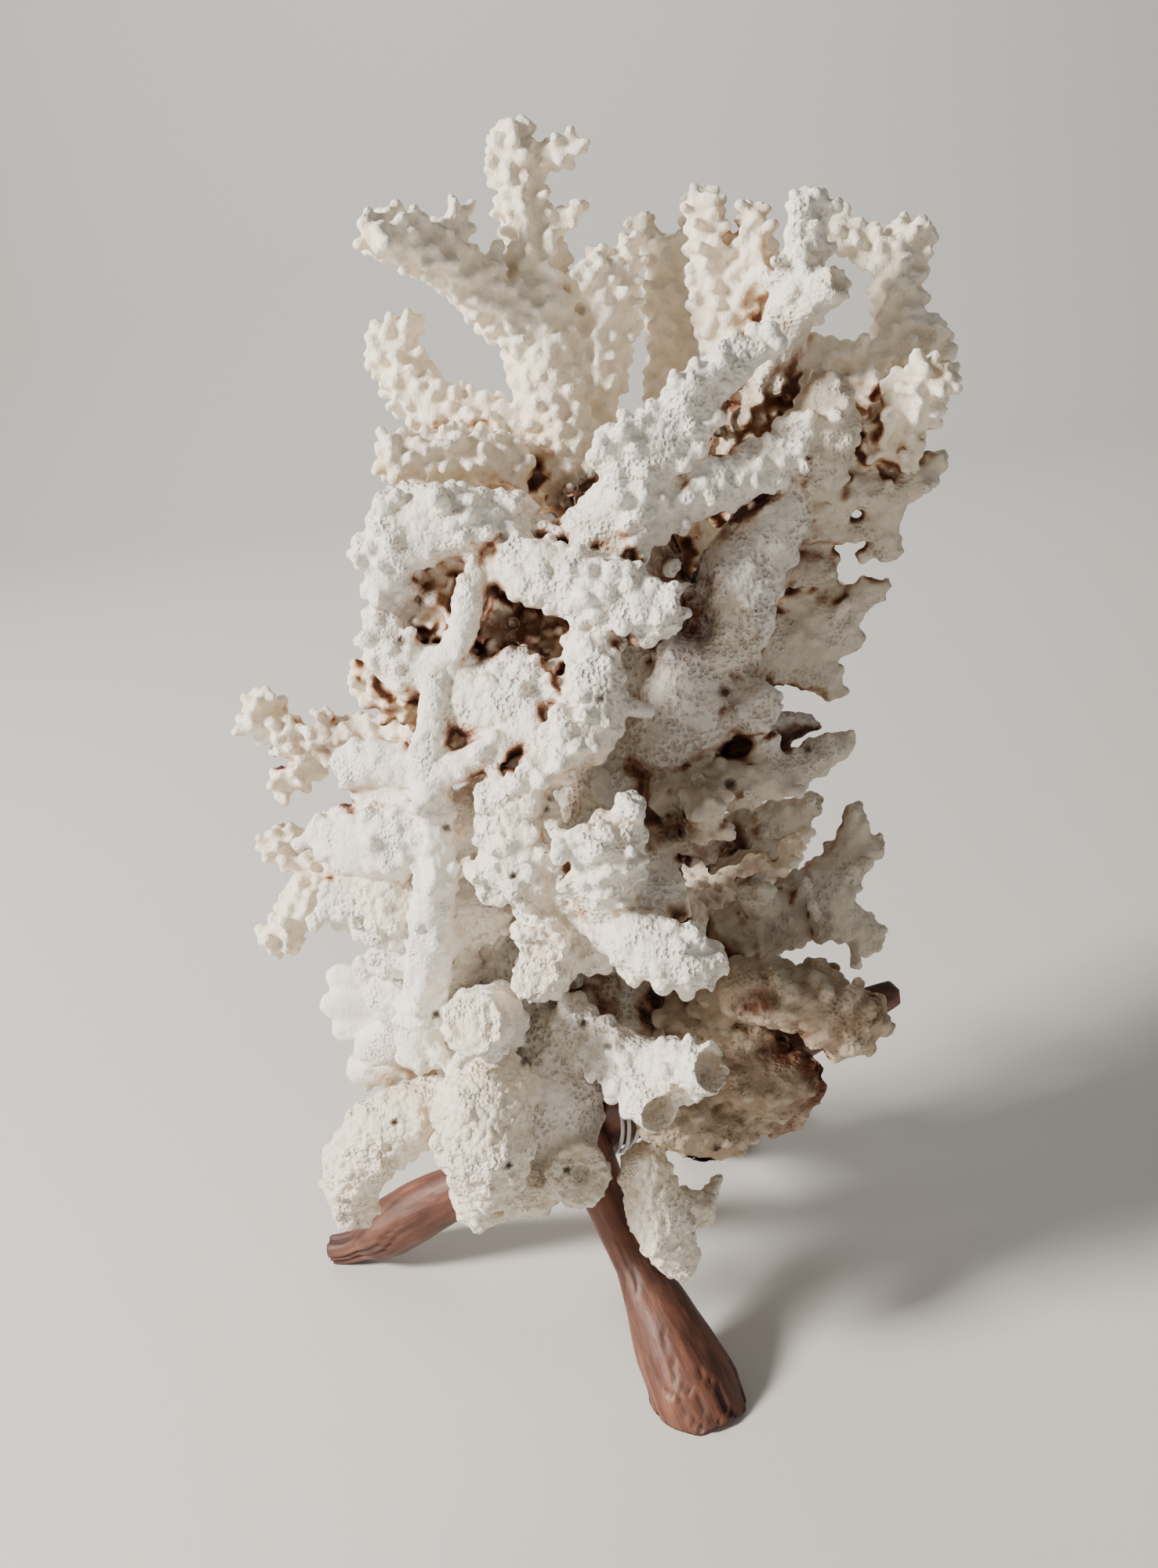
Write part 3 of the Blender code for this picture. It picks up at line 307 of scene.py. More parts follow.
        [(-32, 90, -22, 11), (-37, 80, -34, 13), (-38, 68, -38, 12.6), (-38, 58, -36, 9)],
        [(-40, 60, -28, 8), (-43, 52, -26, 6.4), (-41, 45, -26, 4.4)],
        [(-38, 60, -26, 9), (-29, 54, -24, 7.4), (-23, 50, -22, 5)],
    ]),
    ("low_left_branch", "rough", 1.0, [
        [(-40, 88, -16, 9), (-52, 83, -20, 10), (-64, 78, -20, 10.4), (-73, 70, -18, 10),
         (-77, 60, -18, 8.4), (-77, 51, -18, 5.6)],
    ]),
    ("back_crown_left", "cream", 1.0, [
        [(4, 234, 38, 12), (-4, 242, 52, 10), (-10, 250, 62, 8), (-12, 257, 68, 6)],
        [(-6, 244, 54, 7), (-20, 248, 58, 6), (-27, 252, 58, 5)],
        [(-4, 242, 56, 7), (6, 250, 70, 5.6)],
    ]),
    ("back_crown_right", "cream", 1.0, [
        [(28, 232, 38, 12), (36, 242, 54, 10), (42, 254, 64, 8), (44, 264, 68, 6)],
        [(38, 244, 56, 7), (52, 250, 58, 6), (58, 256, 56, 5)],
        [(34, 242, 58, 7), (26, 254, 72, 5.6)],
    ]),
    ("back_upper_left", "cream", 1.0, [
        [(2, 198, 38, 13), (-10, 204, 56, 11), (-20, 212, 68, 8.6), (-26, 222, 74, 6.4)],
        [(-14, 208, 58, 8), (-32, 208, 58, 7), (-40, 214, 54, 5.4)],
        [(-8, 206, 62, 8), (0, 218, 76, 6)],
    ]),
    ("back_upper_right", "cream", 1.0, [
        [(32, 202, 36, 12), (42, 208, 54, 10), (50, 216, 64, 8), (54, 226, 68, 6)],
        [(46, 212, 56, 7), (60, 214, 54, 6), (66, 220, 50, 4.6)],
        [(42, 210, 58, 7), (34, 222, 74, 5.6)],
    ]),
    ("back_middle", "cream", 1.0, [
        [(14, 168, 40, 13), (14, 176, 62, 11), (12, 186, 76, 8.6), (12, 198, 82, 6.4)],
        [(14, 180, 66, 8), (28, 186, 74, 6.6), (34, 194, 74, 5)],
        [(14, 178, 66, 8), (-2, 184, 74, 6.4), (-10, 192, 74, 5)],
    ]),
    ("back_left", "cream", 1.0, [
        [(-12, 146, 36, 12), (-24, 150, 54, 10), (-34, 160, 64, 8), (-38, 172, 68, 6)],
        [(-28, 154, 56, 7), (-44, 156, 54, 6), (-52, 163, 50, 5)],
        [(-22, 152, 58, 7), (-14, 164, 74, 6)],
    ]),
    ("back_right", "cream", 1.0, [
        [(20, 130, 38, 12), (32, 136, 56, 10), (40, 146, 66, 8), (44, 158, 70, 6)],
        [(36, 140, 58, 7), (50, 146, 56, 6), (55, 154, 52, 4.6)],
        [(32, 138, 60, 7), (22, 150, 74, 5.6)],
    ]),
    ("back_low_left", "white", 1.0, [
        [(-12, 104, 36, 12), (-26, 106, 56, 10.6), (-38, 114, 66, 8.4), (-44, 126, 70, 6.4)],
        [(-30, 108, 60, 7), (-48, 104, 58, 6.4), (-56, 108, 54, 5)],
        [(-20, 104, 60, 8), (-14, 98, 74, 6.4)],
    ]),
    ("back_low_right", "white", 1.0, [
        [(18, 98, 36, 11), (30, 98, 54, 10), (40, 106, 62, 8), (44, 116, 66, 6)],
        [(32, 98, 56, 7), (46, 94, 56, 6)],
        [(26, 98, 58, 8), (18, 94, 74, 6.6)],
    ]),
]

# Broken ends: the limb, which of its paths ends so, how wide the hollow is beside the end's radius, how deep
# it is, and how far back from the end the break lies
BREAKS = [
    ("front_slab", 2, 0.0, 0.0, 0.5),
    ("front_slab", 3, 0.0, 0.0, 0.5),
    ("front_stub_lower", 0, 0.0, 0.0, 1.0),
    ("base_centre", 2, 0.34, 2.6, 0.5),
    ("base_tubes", 0, 0.74, 6.5, -0.5),
    ("base_tubes", 1, 0.76, 6.5, -0.5),
    ("front_right_branch", 3, 0.0, 0.0, 0.0),
    ("front_right_branch", 4, 0.3, 1.5, 0.0),
    ("crown_white_finger", 1, 0.55, 2.2, -0.5),
]
BARE_RIM = 2.8          # no knobs stand nearer than this to the rim of a broken end

# Broken faces on the side of a limb: the limb, a point (x, z, depth) on the face, which way it looks (x, z,
# depth), and how far it spreads
FACETS = [
    ("front_lump", (-41, 67, -48), (-0.25, 0.1, -1.0), 15),
    ("low_left_branch", (-74, 66, -28), (-0.4, 0.15, -1.0), 12),
    ("hanging_lump", (9, 44, -35), (0.3, 0.1, -1.0), 6.5),
    ("front_slab", (-14, 158, -37), (-0.2, 0.3, -1.0), 13),
    ("left_mass_low", (-52, 146, -20), (-0.4, 0.2, -1.0), 12),
    ("trunk_right_plate", (37, 205, -5), (0.5, 0.1, -1.0), 14),
]

# Lone round knobs that stand in the hollows with stain and painted shade: (x, z, depth) and radius
LONE_KNOBS = [
    (49, 262, 13, 3.0), (43, 260, 13, 2.2), (46, 256, 13, 1.7), (39, 254, 12, 1.6), (9, 246, 16, 2.8),
    (12, 239, 12, 2.2), (6, 250, 18, 2.0), (-18, 213, -8, 2.4), (-12, 218, -8, 2.0), (-31, 227, -3, 2.6),
    (-37, 226, -2, 2.0), (-24, 219, -6, 1.8), (29, 228, 2, 3.0), (32, 222, 2, 2.2), (48, 214, -4, 1.8),
]

# Petals on the folded piece at the left, as paths of (x, z, depth, radius) that are thin from front to back
PETALS = [
    [(-62, 122, -1, 4.4), (-68, 125, -1, 4.8), (-72, 127, 0, 3.6)],
    [(-62, 117, -3, 4.6), (-70, 118, -3, 4.8), (-75, 118, -2, 3.6)],
    [(-62, 112, -3, 4.6), (-69, 111, -3, 4.6), (-73, 110, -2, 3.4)],
    [(-52, 114, -8, 5.5), (-57, 117, -10, 7.2), (-62, 119, -9, 4.8)],
    [(-60, 124, -5, 4.0), (-63, 128, -5, 3.8), (-64, 131, -5, 2.6)],
    [(-52, 107, -8, 6), (-60, 105, -9, 6.6), (-67, 103, -8, 5)],
]
PETAL_THIN = 0.55       # thickness of a petal beside its width

# Deep hollows between the limbs, coloured with stain and painted shade: (x, z, depth) at the mouth, half
# width, half height, and how deep
HOLLOWS = [
    (31, 230, 14, 6.0, 9.0, 6.0), (33, 215, -1, 5.6, 8.5, 9.0), (7, 246, 16, 6.5, 6.0, 4.0),
    (46, 264, 12, 5.0, 8.0, 4.0), (40, 255, 10, 4.0, 6.0, 4.0), (24, 160, -4, 4.5, 5.0, 5.0),
    (38, 152, 4, 6.0, 3.5, 4.0), (-10, 216, -4, 6.0, 5.0, 4.0), (42, 104, -22, 6.0, 3.5, 4.0),
    (46, 88, -24, 7.0, 3.5, 4.0), (56, 84, -22, 5.0, 5.0, 3.0),
]

# Small holes bored into the surface: (x, z, depth), radius and how deep
HOLES = [
    (-40, 217, -12, 1.1, 1.6), (-16, 58, -34, 0.9, 1.4), (-52, 74, -30, 1.0, 1.5), (-32, 62, -48, 0.9, 1.4),
    (-6, 104, -22, 1.1, 1.8), (-24, 94, -18, 1.0, 1.6), (0, 96, -24, 1.0, 1.6), (-46, 112, -26, 1.0, 1.5),
    (-9, 168, -38, 1.0, 1.6), (-20, 150, -38, 1.0, 1.6), (39, 169, -6, 1.4, 2.2), (60, 176, -2, 1.0, 1.4),
    (27, 60, -24, 1.0, 1.4), (-36, 166, -24, 1.0, 1.4), (8, 196, -34, 0.9, 1.3), (-62, 80, -32, 1.0, 1.5),
]

# Brown and reddish stains, some of them also painted shade in shaded crevices: where each one is, how far it
# reaches and how strong it is
STAINS_AND_PAINTED_SHADE = [
    (-33, 228, 0, 8, 0.9), (-15, 217, -6, 6, 0.8), (-11, 208, -8, 5, 0.8), (-17, 227, -6, 5, 0.8),
    (1, 199, -12, 5, 0.8), (-60, 192, 22, 8, 0.9), (47, 262, 14, 11, 1.0), (42, 250, 12, 9, 1.0),
    (8, 246, 18, 10, 0.9), (14, 238, 12, 6, 0.8), (-27, 245, 8, 6, 0.7), (-40, 217, -14, 2, 1.0),
    (-32, 126, -14, 3, 1.0), (55, 77, -20, 11, 0.9), (47, 66, -14, 9, 1.0), (27, 70, -16, 7, 0.6),
    (33, 214, 4, 10, 0.9), (30, 226, 4, 9, 0.9), (72, 98, -18, 7, 0.8), (62, 228, 14, 8, 0.8),
    (36, 170, 0, 9, 0.7), (58, 100, -20, 10, 0.9), (52, 118, -4, 9, 0.8), (30, 150, 4, 9, 0.7),
    (60, 190, 12, 6, 0.6), (20, 178, 6, 8, 0.6), (66, 246, 12, 6, 0.8), (-24, 183, -8, 4, 0.7),
    (-6, 214, 0, 8, 0.7), (38, 94, -12, 9, 0.9), (64, 88, -16, 9, 0.9), (42, 160, 4, 8, 0.7),
    (39, 189, -6, 2.4, 1.0), (40, 194, -6, 2.4, 1.0), (43, 197.5, -6, 2.4, 1.0), (47, 199, -6, 2.2, 1.0),
    (57, 197, 6, 4, 0.8), (45, 80, -22, 10, 0.5), (34, 120, -2, 7, 0.7), (68, 160, 18, 5, 0.5),
    (38, 143, 46, 13, 1.0), (31, 230, 16, 11, 1.0), (32, 238, 10, 7, 0.9), (32, 210, 4, 7, 1.0),
    (45, 179, 6, 5, 0.8), (34, 216, 2, 9, 1.0), (36, 223, 0, 6, 0.9), (18, 176, 6, 9, 0.8),
    (22, 168, 2, 7, 0.9), (44, 153, 10, 7, 0.9),
]
# A stain no wider than SMALL_STAIN reaches SMALL_STAIN_DEPTH times its radius into the depth
SMALL_STAIN = 3.0
SMALL_STAIN_DEPTH = 4.0

# Places where the crevices get less painted shade and stain: where each one is, how far it reaches and how
# strong it is
PALE = [
    (6, 300, 34, 44, 0.80), (80, 292, 32, 30, 0.60), (-22, 82, -20, 36, 0.85), (-46, 128, -8, 36, 0.75),
    (-24, 156, -20, 26, 0.55), (-30, 250, 6, 20, 0.5), (14, 96, -26, 22, 0.6), (12, 38, -28, 24, 0.7),
    (44, 212, -4, 22, 0.4), (-15, 124, -38, 15, 0.8),
]


def seen(x, z, depth):
    """The point at a depth behind the plane Y = 0 that covers (x, 0, z) when looked at from EYE."""
    share = (depth - EYE[1]) / -EYE[1]
    return EYE + (np.array([x, 0.0, z]) - EYE) * share


def placed(path):
    """A path of (x, z, depth, radius) as points in space with their radius."""
    return [np.append(seen(x, z, depth), radius) for x, z, depth, radius in path]


def unit(v):
    return v / max(np.linalg.norm(v), 1e-9)


def smooth_path(points, step):
    """Catmull-Rom samples of (x, y, z, radius) about a step apart, one row each."""
    ends = [points[0]] + list(points) + [points[-1]]
    rows = []
    for before, start, stop, after in zip(ends, ends[1:], ends[2:], ends[3:]):
        count = max(1, round(np.linalg.norm(stop[:3] - start[:3]) / step))
        for i in range(count):
            t = i / count
            place = (
                before[:3] * (-0.5 * t + t * t - 0.5 * t ** 3)
                + start[:3] * (1 - 2.5 * t * t + 1.5 * t ** 3)
                + stop[:3] * (0.5 * t + 2 * t * t - 1.5 * t ** 3)
                + after[:3] * (0.5 * (t ** 3 - t * t))
            )
            rows.append(np.append(place, start[3] + (stop[3] - start[3]) * t))
    rows.append(points[-1])
    return np.array(rows)


def frames_along(rows):
    """Unit vectors ahead, to one side and across, for each sample of a path."""
    count = len(rows)
    side = None
    result = []
    for i in range(count):
        ahead = unit(rows[min(i + 1, count - 1), :3] - rows[max(i - 1, 0), :3])
        if side is None:
            side = unit(np.cross(ahead, [0.3, 0.9, 0.2]))
        side = unit(side - ahead * (side @ ahead))
        result.append((ahead, side, np.cross(ahead, side)))
    return result


class Soup:
    """Gathers closed meshes that a remesh will fuse."""

    def __init__(self):
        self.points = []
        self.faces = []
        self.count = 0

    def add(self, points, faces):
        self.points.append(points)
        self.faces.append(faces + self.count)
        self.count += len(points)

    def mesh(self, name):
        points = np.concatenate(self.points) * MM
        faces = np.concatenate(self.faces)
        return make_mesh(name, points, faces)


def make_mesh(name, points, triangles):
    mesh = bpy.data.meshes.new(name)
    mesh.vertices.add(len(points))
    mesh.vertices.foreach_set("co", np.ascontiguousarray(points, np.float32).ravel())
    mesh.loops.add(triangles.size)
    mesh.loops.foreach_set("vertex_index", np.ascontiguousarray(triangles, np.int32).ravel())
    mesh.polygons.add(len(triangles))
    width = triangles.shape[1]
    mesh.polygons.foreach_set("loop_start", np.arange(0, triangles.size, width, dtype=np.int32))
    mesh.update(calc_edges=True)
    return mesh


def tube_faces(rings, sides):
    """Triangles of a closed tube, whose two end points come after its rings."""
    k = np.arange(sides)
    n = (k + 1) % sides
    last = (rings - 1) * sides
    faces = []
    for low in range(0, last, sides):
        high = low + sides
        faces.append(np.stack([low + k, low + n, high + n], 1))
        faces.append(np.stack([low + k, high + n, high + k], 1))
    faces.append(np.stack([n, k, np.full(sides, rings * sides)], 1))
    faces.append(np.stack([last + k, last + n, np.full(sides, rings * sides + 1)], 1))
    return np.concatenate(faces)


def tube_mesh(rows, flatness, sides=TUBE_SIDES):
    """Points and triangles of a closed tube through the samples."""
    angles = np.arange(sides) * FULL_TURN / sides
    rings = []
    ways = frames_along(rows)
    for row, (ahead, side, across) in zip(rows, ways):
        offset = (np.outer(np.cos(angles), side) + np.outer(np.sin(angles), across)) * row[3]
        offset[:, 1] *= flatness
        rings.append(row[:3] + offset)
    start = rows[0, :3] - ways[0][0] * rows[0, 3] * TUBE_END
    stop = rows[-1, :3] + ways[-1][0] * rows[-1, 3] * TUBE_END
    return np.concatenate(rings + [start[None], stop[None]]), tube_faces(len(rows), sides)


def ball():
    """Points and triangles of a small ball of radius 1, each side of an icosahedron split in four."""
    golden = (1 + math.sqrt(5)) / 2
    corners = np.array([
        (-1, golden, 0), (1, golden, 0), (-1, -golden, 0), (1, -golden, 0),
        (0, -1, golden), (0, 1, golden), (0, -1, -golden), (0, 1, -golden),
        (golden, 0, -1), (golden, 0, 1), (-golden, 0, -1), (-golden, 0, 1),
    ], float)
    faces = [
        (0, 11, 5), (0, 5, 1), (0, 1, 7), (0, 7, 10), (0, 10, 11), (1, 5, 9), (5, 11, 4), (11, 10, 2),
        (10, 7, 6), (7, 1, 8), (3, 9, 4), (3, 4, 2), (3, 2, 6), (3, 6, 8), (3, 8, 9), (4, 9, 5), (2, 4, 11),
        (6, 2, 10), (8, 6, 7), (9, 8, 1),
    ]
    points = [unit(corner) for corner in corners]
    middles = {}

    def middle(a, b):
        key = (min(a, b), max(a, b))
        if key not in middles:
            middles[key] = len(points)
            points.append(unit(points[a] + points[b]))
        return middles[key]

    split = []
    for a, b, c in faces:
        ab, bc, ca = middle(a, b), middle(b, c), middle(c, a)
        split += [(a, ab, ca), (b, bc, ab), (c, ca, bc), (ab, bc, ca)]
    return np.array(points), np.array(split)


BALL_POINTS, BALL_FACES = ball()


def knob(soup, place, way, radius, stand):
    """A papilla with a round head that stands out of the surface at place."""
    way = unit(way)
    side = unit(np.cross(way, [0.31, 0.52, 0.79]))
    across = np.cross(way, side)
    head = max(stand - radius, -KNOB_SINK * radius)
    lengths = np.where(BALL_POINTS[:, 2] > 0, radius, head + KNOB_ROOT)
    points = (
        np.outer(BALL_POINTS[:, 0] * radius, side)
        + np.outer(BALL_POINTS[:, 1] * radius, across)
        + np.outer(BALL_POINTS[:, 2] * lengths + head, way)
    )
    soup.add(place + points, BALL_FACES)


def round_way(rng, side, across):
    """A random way out from a limb."""
    angle = rng.uniform(0, FULL_TURN)
    return side * math.cos(angle) + across * math.sin(angle)


def scatter(rng, size):
    """A small random offset."""
    return np.array([rng.gauss(0, size) for _ in range(3)])


class Colony:
    """The sampled limbs, with what is needed to ask how far a point is from each."""

    def __init__(self):
        self.limbs = []
        rows, flats, owners = [], [], []
        for index, (name, look, flatness, paths) in enumerate(LIMBS):
            sampled = [smooth_path(placed(path), RING_STEP) for path in paths]
            for samples in sampled:
                rows.append(samples)
                flats.append(np.full(len(samples), flatness))
                owners.append(np.full(len(samples), index))
            self.limbs.append((name, look, flatness, sampled))
        self.rows = np.concatenate(rows)
        self.flats = np.concatenate(flats)
        self.owners = np.concatenate(owners)

    def buried(self, place, own):
        """Whether a point is well inside a limb other than its own."""
        offset = self.rows[:, :3] - place
        offset[:, 1] /= self.flats
        share = np.sqrt((offset ** 2).sum(1)) / self.rows[:, 3]
        share[self.owners == own] = np.inf
        return share.min() < BURIED

    def sprig(self, index, samples, ways, rng):
        """The two ends of a short branchlet on a limb, or None where it would be buried."""
        squeeze = np.array([1, self.limbs[index][2], 1])
        i = rng.randrange(len(samples) // 3, len(samples))
        ahead, side, across = ways[i]
        out = round_way(rng, side, across)
        size = samples[i, 3]
        thick = rng.uniform(*SPRIG_RADIUS) * min(1.0, 0.5 + size / 12)
        reach = rng.uniform(*SPRIG_REACH)
        start = samples[i, :3] + out * squeeze * size * 0.6
        way = unit(out + ahead * rng.uniform(0.2, 1.1) + SPRIG_LIFT)
        end = samples[i, :3] + out * squeeze * size * 0.9 + way * reach
        if self.buried(end, index):
            return None
        return np.array([np.append(start, thick * 1.25), np.append(end, thick * 0.8)])

    def sprout(self, soup, rng):
        """Adds short branchlets to the limbs, each with three knobs at its tip."""
        for index, (_, look, _, sampled) in enumerate(self.limbs):
            added = []
            for samples in sampled:
                ways = frames_along(samples)
                length = np.linalg.norm(np.diff(samples[:, :3], axis=0), axis=1).sum()
                wanted = LOOKS[look]["sprigs"] * length / 100
                for _ in range(int(wanted + rng.random())):
                    added.append(self.sprig(index, samples, ways, rng))
            for rows in added:
                if rows is None:
                    continue
                soup.add(*tube_mesh(smooth_path(list(rows), SPRIG_STEP), 1.0, THIN_TUBE_SIDES))
                for _ in range(3):
                    way = unit(rows[1, :3] - rows[0, :3]) + scatter(rng, 0.45)
                    radius = rng.uniform(*SPRIG_KNOB)
                    knob(soup, rows[1, :3], way, radius, rows[1, 3] + rng.uniform(*SPRIG_KNOB_STAND))


def free_place(grid, place, spacing):
    """Claims a place in the grid unless another one is too close."""
    cell = tuple(int(v // spacing) for v in place)
    for dx in (-1, 0, 1):
        for dy in (-1, 0, 1):
            for dz in (-1, 0, 1):
                for x, y, z in grid.get((cell[0] + dx, cell[1] + dy, cell[2] + dz), ()):
                    if (place[0] - x) ** 2 + (place[1] - y) ** 2 + (place[2] - z) ** 2 < spacing ** 2:
                        return False
    grid.setdefault(cell, []).append(tuple(place))
    return True


class Knobs:
    """Covers every limb with knobs, and leaves out those that would be buried or too close together."""

    def __init__(self, soup, colony, rng):
        self.soup = soup
        self.colony = colony
        self.rng = rng
        names = [limb[0] for limb in colony.limbs]
        self.broken_tips = [colony.limbs[names.index(name)][3][path][-1] for name, path, *_ in BREAKS]

    def grow(self):
        bare = {(name, path) for name, path, *_ in BREAKS}
        for index, (name, look, flatness, sampled) in enumerate(self.colony.limbs):
            self.index = index
            self.style = LOOKS[look]
            self.flatness = flatness
            self.grid = {}
            for number, samples in enumerate(sampled):
                ways = frames_along(samples)
                self.cover_sides(samples, ways)
                if (name, number) not in bare:
                    self.cover_tip(samples[-1], *ways[-1])

    def free(self, place, spacing):
        return free_place(self.grid, place, spacing) and not self.colony.buried(place, self.index)

    def cover_sides(self, samples, ways):
        lengths = np.linalg.norm(np.diff(samples[:, :3], axis=0), axis=1)
        area = float((lengths * samples[1:, 3]).sum()) * FULL_TURN
        widest = samples[:, 3].max()
        for _ in range(int(area / self.style["spacing"] ** 2 * KNOB_TRIES)):
            i = self.rng.randrange(len(samples))
            if self.rng.random() > samples[i, 3] / widest:
                continue
            self.side_knob(samples[i], *ways[i], i / max(1, len(samples) - 1))

    def side_knob(self, row, ahead, side, across, along):
        style, rng = self.style, self.rng
        out = round_way(rng, side, across)
        offset = out * row[3] * style["core"]
        offset[1] *= self.flatness
        place = row[:3] + ahead * rng.uniform(-0.5, 0.5) * RING_STEP + offset
        if any(np.linalg.norm(place - tip[:3]) < tip[3] + BARE_RIM for tip in self.broken_tips):
            return
        if not self.free(place, style["spacing"]):
            return
        lush = style["patchy"] * noise.noise(Vector(place / KNOB_PATCH))
        if lush < BARE_BELOW and rng.random() < BARE_SHARE:
            return
        small = min(1.0, 0.55 + row[3] / 10) * (1 + PATCHINESS * max(lush, 0))
        radius = rng.uniform(*style["knob"]) * small
        stand = rng.uniform(*style["stand"]) * (0.8 + 0.4 * along) * small
        lean = ahead * style["lean"] * rng.uniform(0.4, 1.2)
        knob(self.soup, place, out + lean + scatter(rng, 0.2) + LIFT, radius, stand)

    def cover_tip(self, tip, ahead, side, across):
        style, rng = self.style, self.rng
        squeeze = np.array([1, self.flatness, 1])
        for _ in range(int(10 + tip[3] * 3)):
            out = round_way(rng, side, across)
            tilt = math.sqrt(rng.random())
            reach = ahead * (1 - tilt ** 2) * 0.7 + out * squeeze * tilt
            place = tip[:3] + reach * tip[3] * style["core"]
            if not self.free(place, style["spacing"] * TIP_CROWDING):
                continue
            small = min(1.0, 0.6 + tip[3] / 12)
            radius = rng.uniform(*style["knob"]) * small
            stand = rng.uniform(*style["stand"]) * small
            knob(self.soup, place, ahead + out * tilt * 0.9, radius, stand)


def remeshed(mesh):
    """Points, quads and normals of one skin round all the closed shapes in a mesh."""
    holder = bpy.data.objects.new("fusing", mesh)
    bpy.context.scene.collection.objects.link(holder)
    fuse = holder.modifiers.new("fuse", "REMESH")
    fuse.mode = "VOXEL"
    fuse.voxel_size = FUSE_SIZE * MM
    soften = holder.modifiers.new("soften", "SMOOTH")
    soften.factor = 0.45
    soften.iterations = 1
    bpy.context.view_layer.update()
    skin = bpy.data.meshes.new_from_object(holder.evaluated_get(bpy.context.evaluated_depsgraph_get()))
    bpy.data.objects.remove(holder)
    points = np.empty(len(skin.vertices) * 3, np.float32)
    skin.vertices.foreach_get("co", points)
    normals = np.empty(len(skin.vertices) * 3, np.float32)
    skin.vertex_normals.foreach_get("vector", normals)
    quads = np.empty(len(skin.loops), np.int32)
    skin.loops.foreach_get("vertex_index", quads)
    points = points.reshape(-1, 3).astype(float) / MM
    return points, quads.reshape(-1, 4), normals.reshape(-1, 3).astype(float)


def fused_coral(colony, rng):
    """Points, quads and normals of the whole colony, fused."""
    soup = Soup()
    for _, look, flatness, sampled in colony.limbs:
        for samples in sampled:
            core = samples.copy()
            core[:, 3] *= LOOKS[look]["core"] * (1 + CORE_WANDER * wander(core[:, :3], 4.5, 20))
            soup.add(*tube_mesh(core, flatness))
    colony.sprout(soup, rng)
    Knobs(soup, colony, rng).grow()
    for petal in PETALS:
        soup.add(*tube_mesh(smooth_path(placed(petal), PETAL_STEP), PETAL_THIN))
    for x, z, depth, radius in LONE_KNOBS:
        centre = seen(x, z, depth)
        knob(soup, centre, unit(EYE - centre), radius, radius * 1.2)
    return remeshed(soup.mesh("fusing"))


def per_limb(key):
    """One value of each limb's look, in the order of the limbs."""
    return np.array([LOOKS[look][key] for _, look, _, _ in LIMBS])


def distances(colony, points, every=1):
    """For each point: the nearest limb, and how far outside that limb's core it is."""
    count = len(points)
    owner = np.zeros(count, np.int32)
    over = np.zeros(count, np.float32)
    x, y, z, radii = colony.rows[::every].T
    flats, owners = colony.flats[::every], colony.owners[::every]
    cores = (per_limb("core")[owners] * radii).astype(np.float32)
    # squared distance, squeezed from front to back by each limb's flatness, as one product of matrices
    fixed = x * x + z * z + (y / flats) ** 2
    right = np.stack([np.ones(len(x)), flats ** -2, -2 * x, -2 * z, -2 * y * flats ** -2, fixed])
    right = right.astype(np.float32)
    batch = 4000
    for low in range(0, count, batch):
        part = points[low:low + batch]
        px, py, pz = part.T
        left = np.stack([px * px + pz * pz, py * py, px, pz, py, np.ones(len(part))], 1).astype(np.float32)
        reach = np.sqrt(np.maximum(left @ right, 0)) - cores
        best = reach.argmin(1)
        owner[low:low + batch] = owners[best]
        over[low:low + batch] = reach[np.arange(len(part)), best]
    return owner, over


def recesses(colony, points, normals):
    """How shut in each point is: how much nearer the limbs are than they would be in the open; this sets the
    painted shade of the crevices, reddish brown deep in.
    """
    shut = np.zeros(len(points))
    for step, weight in RECESS_STEPS:
        _, over = distances(colony, points + normals * step, 2)
        shut += weight * np.clip(1 - (over - 0.8) / step, 0, 1.4)
    return shut


def wander(points, size, offset):
    """Smooth noise between about -1 and 1 at each point, with lumps of about the given size."""
    scale = 1 / size
    return np.array([
        noise.noise(Vector((x * scale + offset, y * scale, z * scale - offset)))
        for x, y, z in points.tolist()
    ])


def about(points, centre, line):
    """Each point's offset from a centre, how far it is along a line there, and how far from the line."""
    offset = points - centre
    along = offset @ line
    radial = np.linalg.norm(offset - along[:, None] * line, axis=1)
    return offset, along, radial


def cut_end(points, broken, hollow, own, grit, samples, shape):
    """Cuts one end of a limb flat and ragged, and hollows it where its hollow has a width."""
    width, depth, back = shape
    ahead = frames_along(samples)[-1][0]
    radius = samples[-1, 3]
    offset, along, radial = about(points, samples[-1, :3] - ahead * back, ahead)
    near = own & (radial < radius * 1.5) & (along > -1.2) & (along < radius * 2.2)
    rise = np.where(near & (along > 0), along, 0)
    outward = (offset - along[:, None] * ahead) / np.maximum(radial, 0.5)[:, None]
    ragged = np.where(own & (radial > radius * 0.6) & (along > -6), grit * 0.75, 0)
    points += ragged[:, None] * outward
    points -= (rise * 0.93)[:, None] * ahead
    points += (np.where(near & (along > -0.5), grit * 0.7, 0))[:, None] * ahead
    np.maximum(broken, np.where(near, np.clip((along + 1.2) / 1.2, 0, 1), 0), out=broken)
    if width:
        inside = np.clip(1.15 - (radial / (radius * width)) ** 4, 0, 1) * near * (along > -1.0)
        points -= (inside * depth)[:, None] * ahead
        np.maximum(broken, np.minimum(inside * 2, 1), out=broken)
        # The hollow is also darkened with painted shade, through the bored mark
        np.maximum(hollow, inside * min(0.14, depth * 0.03), out=hollow)


